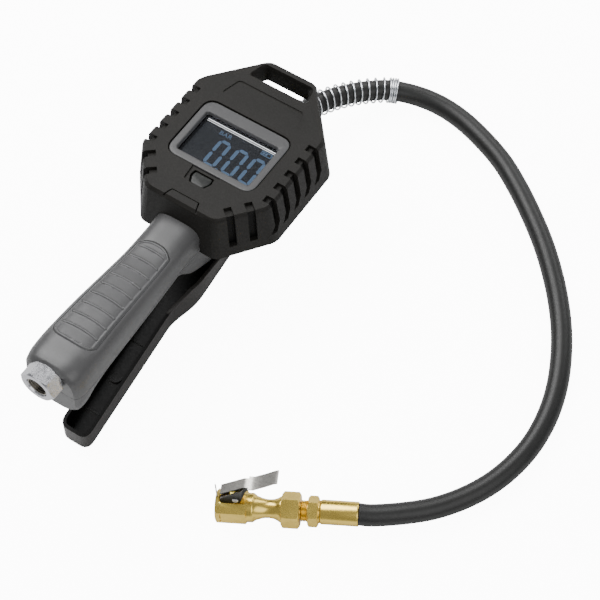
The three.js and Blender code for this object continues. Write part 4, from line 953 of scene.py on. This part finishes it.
def centripetal(points, steps):
    """Points along a centripetal Catmull-Rom curve through these points."""
    ends = [points[0] * 2 - points[1]] + points + [points[-1] * 2 - points[-2]]
    result = []
    for p0, p1, p2, p3 in zip(ends, ends[1:], ends[2:], ends[3:]):
        t1 = (p1 - p0).length ** 0.5
        t2 = t1 + (p2 - p1).length ** 0.5
        t3 = t2 + (p3 - p2).length ** 0.5
        for k in range(steps):
            t = t1 + (t2 - t1) * k / steps
            a = p0.lerp(p1, t / t1)
            b = p1.lerp(p2, (t - t1) / (t2 - t1))
            c = p2.lerp(p3, (t - t2) / (t3 - t2))
            result.append(a.lerp(b, t / t2).lerp(b.lerp(c, (t - t1) / (t3 - t1)), (t - t1) / (t2 - t1)))
    return result + [points[-1]]


def wire(name, points, radius, slot, resolution=6):
    """A round wire along points in metres."""
    line = bpy.data.curves.new(name, "CURVE")
    line.dimensions = "3D"
    line.bevel_depth = radius * MM
    line.bevel_resolution = resolution
    line.use_fill_caps = True
    spline = line.splines.new("POLY")
    spline.points.add(len(points) - 1)
    for place, point in zip(spline.points, points):
        place.co = (*point, 1)
    spline.use_smooth = True
    line.materials.append(FINISH[slot])
    made = bpy.data.objects.new(name, line)
    bpy.context.scene.collection.objects.link(made)
    return made

route = [TOOL @ Vector((0, 93.3, -42)), TOOL @ Vector((0, 98, -42))]
route += [Vector((x * MM, y * MM + SHIFT, z * MM)) for x, y, z in ROUTE]
route += [CHUCK @ Vector((-6, 0, -0.4)), CHUCK @ Vector((0, 0, 0))]
centre = centripetal(route, 8)
lengths = [0.0]
for a, b in zip(centre, centre[1:]):
    lengths.append(lengths[-1] + (b - a).length)
hose = wire("hose_visual", centre, HOSE_RADIUS, "hose_rubber", 10)
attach(hose, "tool")
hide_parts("hose")
print("hose length", round(lengths[-1], 4), "shift", round(SHIFT, 5))

# %% [markdown]
# A zinc-plated spring keeps the hose from kinking where it leaves the head. It is a
# wire wound round the hose's own centreline: fifteen open turns and then four closed
# ones that grip the rubber. Every point is found from the place along the hose and two
# directions square to it there.

# %% Spring guard
GUARD = {"inner": 6.65, "wire": 0.55, "turns": 15, "collar": 4, "pitch": 1.35, "length": 78}


def along_hose(distance):
    i = next(k for k in range(1, len(lengths)) if lengths[k] >= distance)
    t = (distance - lengths[i - 1]) / (lengths[i] - lengths[i - 1])
    before, after = centre[max(0, i - 2)], centre[min(len(centre) - 1, i + 1)]
    return centre[i - 1].lerp(centre[i], t), (after - before).normalized()

coil = []
PER_TURN = 28
collar = GUARD["collar"] * GUARD["pitch"]
for i in range((GUARD["turns"] + GUARD["collar"]) * PER_TURN + 1):
    turn = i / PER_TURN
    opened = min(turn, GUARD["turns"]) / GUARD["turns"]
    closed_part = max(0, turn - GUARD["turns"]) / GUARD["collar"]
    at, ahead = along_hose((0.8 + opened * (GUARD["length"] - collar) + closed_part * collar) * MM)
    beside = ahead.cross(Vector((0, 0, 1))).normalized()
    over = beside.cross(ahead)
    reach = (GUARD["inner"] + GUARD["wire"]) * MM
    angle = 2 * math.pi * turn
    coil.append(at + beside * reach * math.cos(angle) + over * reach * math.sin(angle))
guard = wire("spring_guard_visual", coil, GUARD["wire"], "zinc", 3)
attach(guard, "tool")
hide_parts("spring_guard")
print("spring points", len(coil))

# %% [markdown]
# ## The brass chuck
# A pressed ferrule holds the hose on a brass tail. The ferrule is spun from a profile
# with rounded ends, and the tail has a small hexagon and a threaded neck that screws
# into the chuck.

# %% Ferrule and tail
X1, X2, X3, X4, X5, X6 = 20.5, 27.2, 31.4, 41.4, 59.8, 77.0
FLAT_UP = math.pi / 6
ferrule = spun([
    (3.7, 0.6), (6.5, 0.6), (6.5, 0), (6.6, 0), (6.75, 0.25), (6.7, 0.7),
    (6.7, 19.7), (6.5, 20.3), (6.2, X1), (3.7, X1), (3.7, 0.6),
], 96)
ferrule_piece = piece("ferrule_visual", ferrule, CHUCK, "tool", ["ferrule"], soft=0, limit=40)
stem = [(2, 1), (3.4, 1), (3.4, X1 + 0.3), (6.2, X1 + 0.3), (6.2, X1 + 1.1), (5.4, X1 + 1.1), (5.4, X2 + 0.3)]
stem += thread(X2 + 0.4, X3 - 0.4, 5.9, 5.35, 0.8)
stem += [(4.6, X3 - 0.3), (4.6, X3 + 6), (2, X3 + 6), (2, 1)]
tail_nut = combine(hex_bar(X1 + 1, X2, 14.8, FLAT_UP, 0.8), [rod("x", 0, 60, 0, 0, 5.2)])
tail = together(spun(stem, 72), tail_nut)
tail_piece = piece("hose_tail_visual", tail, CHUCK, "tool", ["hose_tail"], soft=0.08, limit=30)

# %% [markdown]
# The body of the chuck is one brass bar: a large hexagon, a polished waist that swells
# to a collar, and a hexagonal nose. The flat on top of the nose is milled away to leave
# a lug for the clip's pin, and a slot lets the claw reach the valve's thread. A fine
# slit and a small hole mark its side.

# %% Chuck body
waist = spun([
    (2.2, X3 + 7), (6.9, X3 + 7), (7.3, X4), (7.0, X4 + 0.9), (6.1, X4 + 2.4), (5.4, X4 + 4.2),
    (5.1, X4 + 6.5), (5.2, X4 + 8.6), (5.7, X4 + 11), (6.6, X5 - 4.8), (7.5, X5 - 3.6),
    (7.9, X5 - 3.1), (8.0, X5 - 2.6), (8.0, X5 + 0.9), (2.2, X5 + 0.9), (2.2, X3 + 7),
], 96)
socket = spun([(0, X3 - 1), (4.9, X3 - 1), (4.9, X3 + 6.5), (2.2, X3 + 6.5), (2.2, X4 + 1), (0, X4 + 1)])
big_nut = combine(hex_bar(X3, X4, 17.3, FLAT_UP, 1.0), [socket])
PIN_X = X6 - PIN_BACK
milled_top = block(X5 + 0.6, X6 - 2.2, -20, 20, 7.3, 30)
passage, mouth = rod("x", X5 - 1, X5 + 4, 0, 0, 2.2), rod("x", X5 + 3.9, X6 + 1, 0, 0, 4.3)
wire_hole = rod("z", 4.1, 30, X6 - 1.1, 0, 0.5, 24)
nose = combine(hex_bar(X5, X6, 15.9, FLAT_UP, 0.7), [milled_top, passage, mouth, wire_hole])
lug = block(PIN_X - 4.4, PIN_X + 3, -1.9, 1.9, 6.3, PIN_UP + 2)
claw_slot, pin_hole = block(X6 - 5.2, X6 - 2.2, -2.3, 2.3, 2, 30), rod("y", -20, 20, PIN_X, PIN_UP, 1.14)
nose = combine(combine(nose, [lug], "UNION"), [claw_slot, pin_hole])
side_slit = block(X6 - 3.2, X6 - 2.7, 6.4, 12, -0.5, 3.6)
side_hole = rod("y", 6.4, 12, X6 - 3.0, -2.2, 0.5, 24)
nose = combine(nose, [side_slit, side_hole])
chuck = together(waist, big_nut, nose)
body_piece = piece("chuck_body_visual", chuck, CHUCK, "tool", ["chuck_body"], soft=0.12, limit=30)

# %% [markdown]
# A steel clip rocks on the pin to lock the chuck on a valve. It is folded from sheet,
# so each part of it is a strip in the chuck's side view, given the sheet's thickness
# and pushed out sideways: a tongue with the claw, a thumb plate and two cheeks.

# %% Clip
SHEET = 0.8


def strip(outline, y0, y1):
    return loft([[Vector((X6 - back, y, up)) for back, up in outline] for y in (y0, y1)])


def sheet_line(points):
    return points + [(b, u + SHEET) for b, u in reversed(points)]

front, kink, flat_end, end = (3.6, 15.6), (16.6, 23.0), (22.2, 23.3), (35.6, 30.9)
cheek = [
    (2.9, 7.6), (8.1, 7.6), (13.9, 8.75), (17.8, 20), (21.5, 23.4),
    (17.2, 23.4), (15.8, 19.4), (3.7, 12.6), (2.9, 10.5),
]
cheek = [(p.x, p.y) for p in rounded(cheek, 0.8, 3)]
clip = strip(sheet_line([front, kink, flat_end]), -3.0, 3.0)
thumb = strip(sheet_line([(19.2, 23.2), flat_end, (28.5, 26.9), (33.6, 30.2), end]), -4.2, 4.2)
claw = strip([(3.8, 3.4), (4.6, 3.4), (4.6, 16.4), (3.8, 16.1)], -2.0, 2.0)
clip = combine(clip, [thumb, claw, strip(cheek, 2.2, 3.0), strip(cheek, -3.0, -2.2)], "UNION")
clip = combine(clip, [rod("y", -20, 20, PIN_X, PIN_UP, 1.16)])
clip_piece = piece("clip_visual", clip, CHUCK, "clip_lever", ["chuck_clip"], soft=0.14, limit=30)


def on_cheek(centre, normal):
    return abs(normal.dot(chuck_y)) > 0.9 and (centre - ferrule_face).dot(chuck_z) < 0.0235

# The cheeks' flat sides get the near-black copy of the steel: painted shade.
second_finish(clip_piece, "clip_cheek", on_cheek)
head = [(0, 3.55), (1.3, 3.55), (1.7, 3.3), (1.7, 3.05), (1.1, 3.05)]
rivet = spun([(radius, -along) for radius, along in head] + head[::-1], 40)
rivet.transform(Matrix.Translation((PIN_X, 0, PIN_UP)) @ Matrix.Rotation(math.pi / 2, 4, "Z"))
rivet_piece = piece("rivet_visual", rivet, CHUCK, "tool", ["chuck_clip_pin"], soft=0, limit=30)
riders = [guard, ferrule_piece, tail_piece, body_piece, clip_piece, rivet_piece]
riders += [frame["nodes"][n] for n in ("chuck_seal", "chuck_depressor", "clip_wire")]

# %% [markdown]
# ## Everything inside
# The remaining pieces are small or hidden: screws, the battery box, the circuit board
# and the valves. Their CAD solids already have the right shape, so each keeps its mesh
# and takes the finish of its material slot.

# %% Carried-over pieces
carried = [node for node in frame["nodes"].values() if not node.hide_render]
for node in carried:
    node.data.materials.clear()
    node.data.materials.append(FINISH[SLOTS[node.name]])
print("carried over", len(carried), sorted(node.name for node in carried))

# %% [markdown]
# ## Light and floor
# The tool lies on white paper under soft studio light. One large panel from the upper
# left makes the main light, a second one fills the other side, and a narrow strip
# gives the metal something bright to reflect. The paper looks brighter to the camera
# than it shines on the tool: the Light Path node adds a glow for camera rays only, so
# the background is nearly white while the black rubber keeps its contrast.

# %% Stage
def panel(name, place, target, size, power, tall=None):
    light = bpy.data.lights.new(name, "AREA")
    light.shape = "RECTANGLE"
    light.size, light.size_y = size, tall or size
    light.energy = power
    made = bpy.data.objects.new(name, light)
    made.location = place
    made.rotation_euler = (Vector(target) - Vector(place)).to_track_quat("-Z", "Y").to_euler()
    bpy.context.scene.collection.objects.link(made)
    return made

floor_bm = bmesh.new()
bmesh.ops.create_grid(floor_bm, x_segments=2, y_segments=2, size=4)
floor = as_object(floor_bm, "floor")
paper = finish("paper", (0.86, 0.86, 0.86), 0.8, spread=0.01, bump=0.0, shine=0.0)
tree = paper.node_tree
sight = tree.nodes.new("ShaderNodeLightPath")
brighter = tree.nodes.new("ShaderNodeMath")
brighter.operation = "MULTIPLY"
brighter.inputs[1].default_value = 11.0
tree.links.new(sight.outputs["Is Camera Ray"], brighter.inputs[0])
tree.links.new(brighter.outputs["Value"], tree.nodes["Principled BSDF"].inputs["Emission Strength"])
tree.nodes["Principled BSDF"].inputs["Emission Color"].default_value = (1, 1, 1, 1)
floor.data.materials.append(paper)
aim = (0.06, 0.0, 0.03)
lights = [
    panel("key", (-0.55, 0.25, 0.95), aim, 0.8, 16),
    panel("fill", (0.75, -0.35, 0.75), aim, 0.9, 5),
    panel("strip", (0.1, 0.95, 0.55), aim, 1.1, 5, 0.35),
]
world = bpy.data.worlds.new("studio")
bpy.context.scene.world = world
world.use_nodes = True
world.node_tree.nodes["Background"].inputs["Color"].default_value = (0.95, 0.97, 1.0, 1)
world.node_tree.nodes["Background"].inputs["Strength"].default_value = 0.35
print(len(lights), "lights")
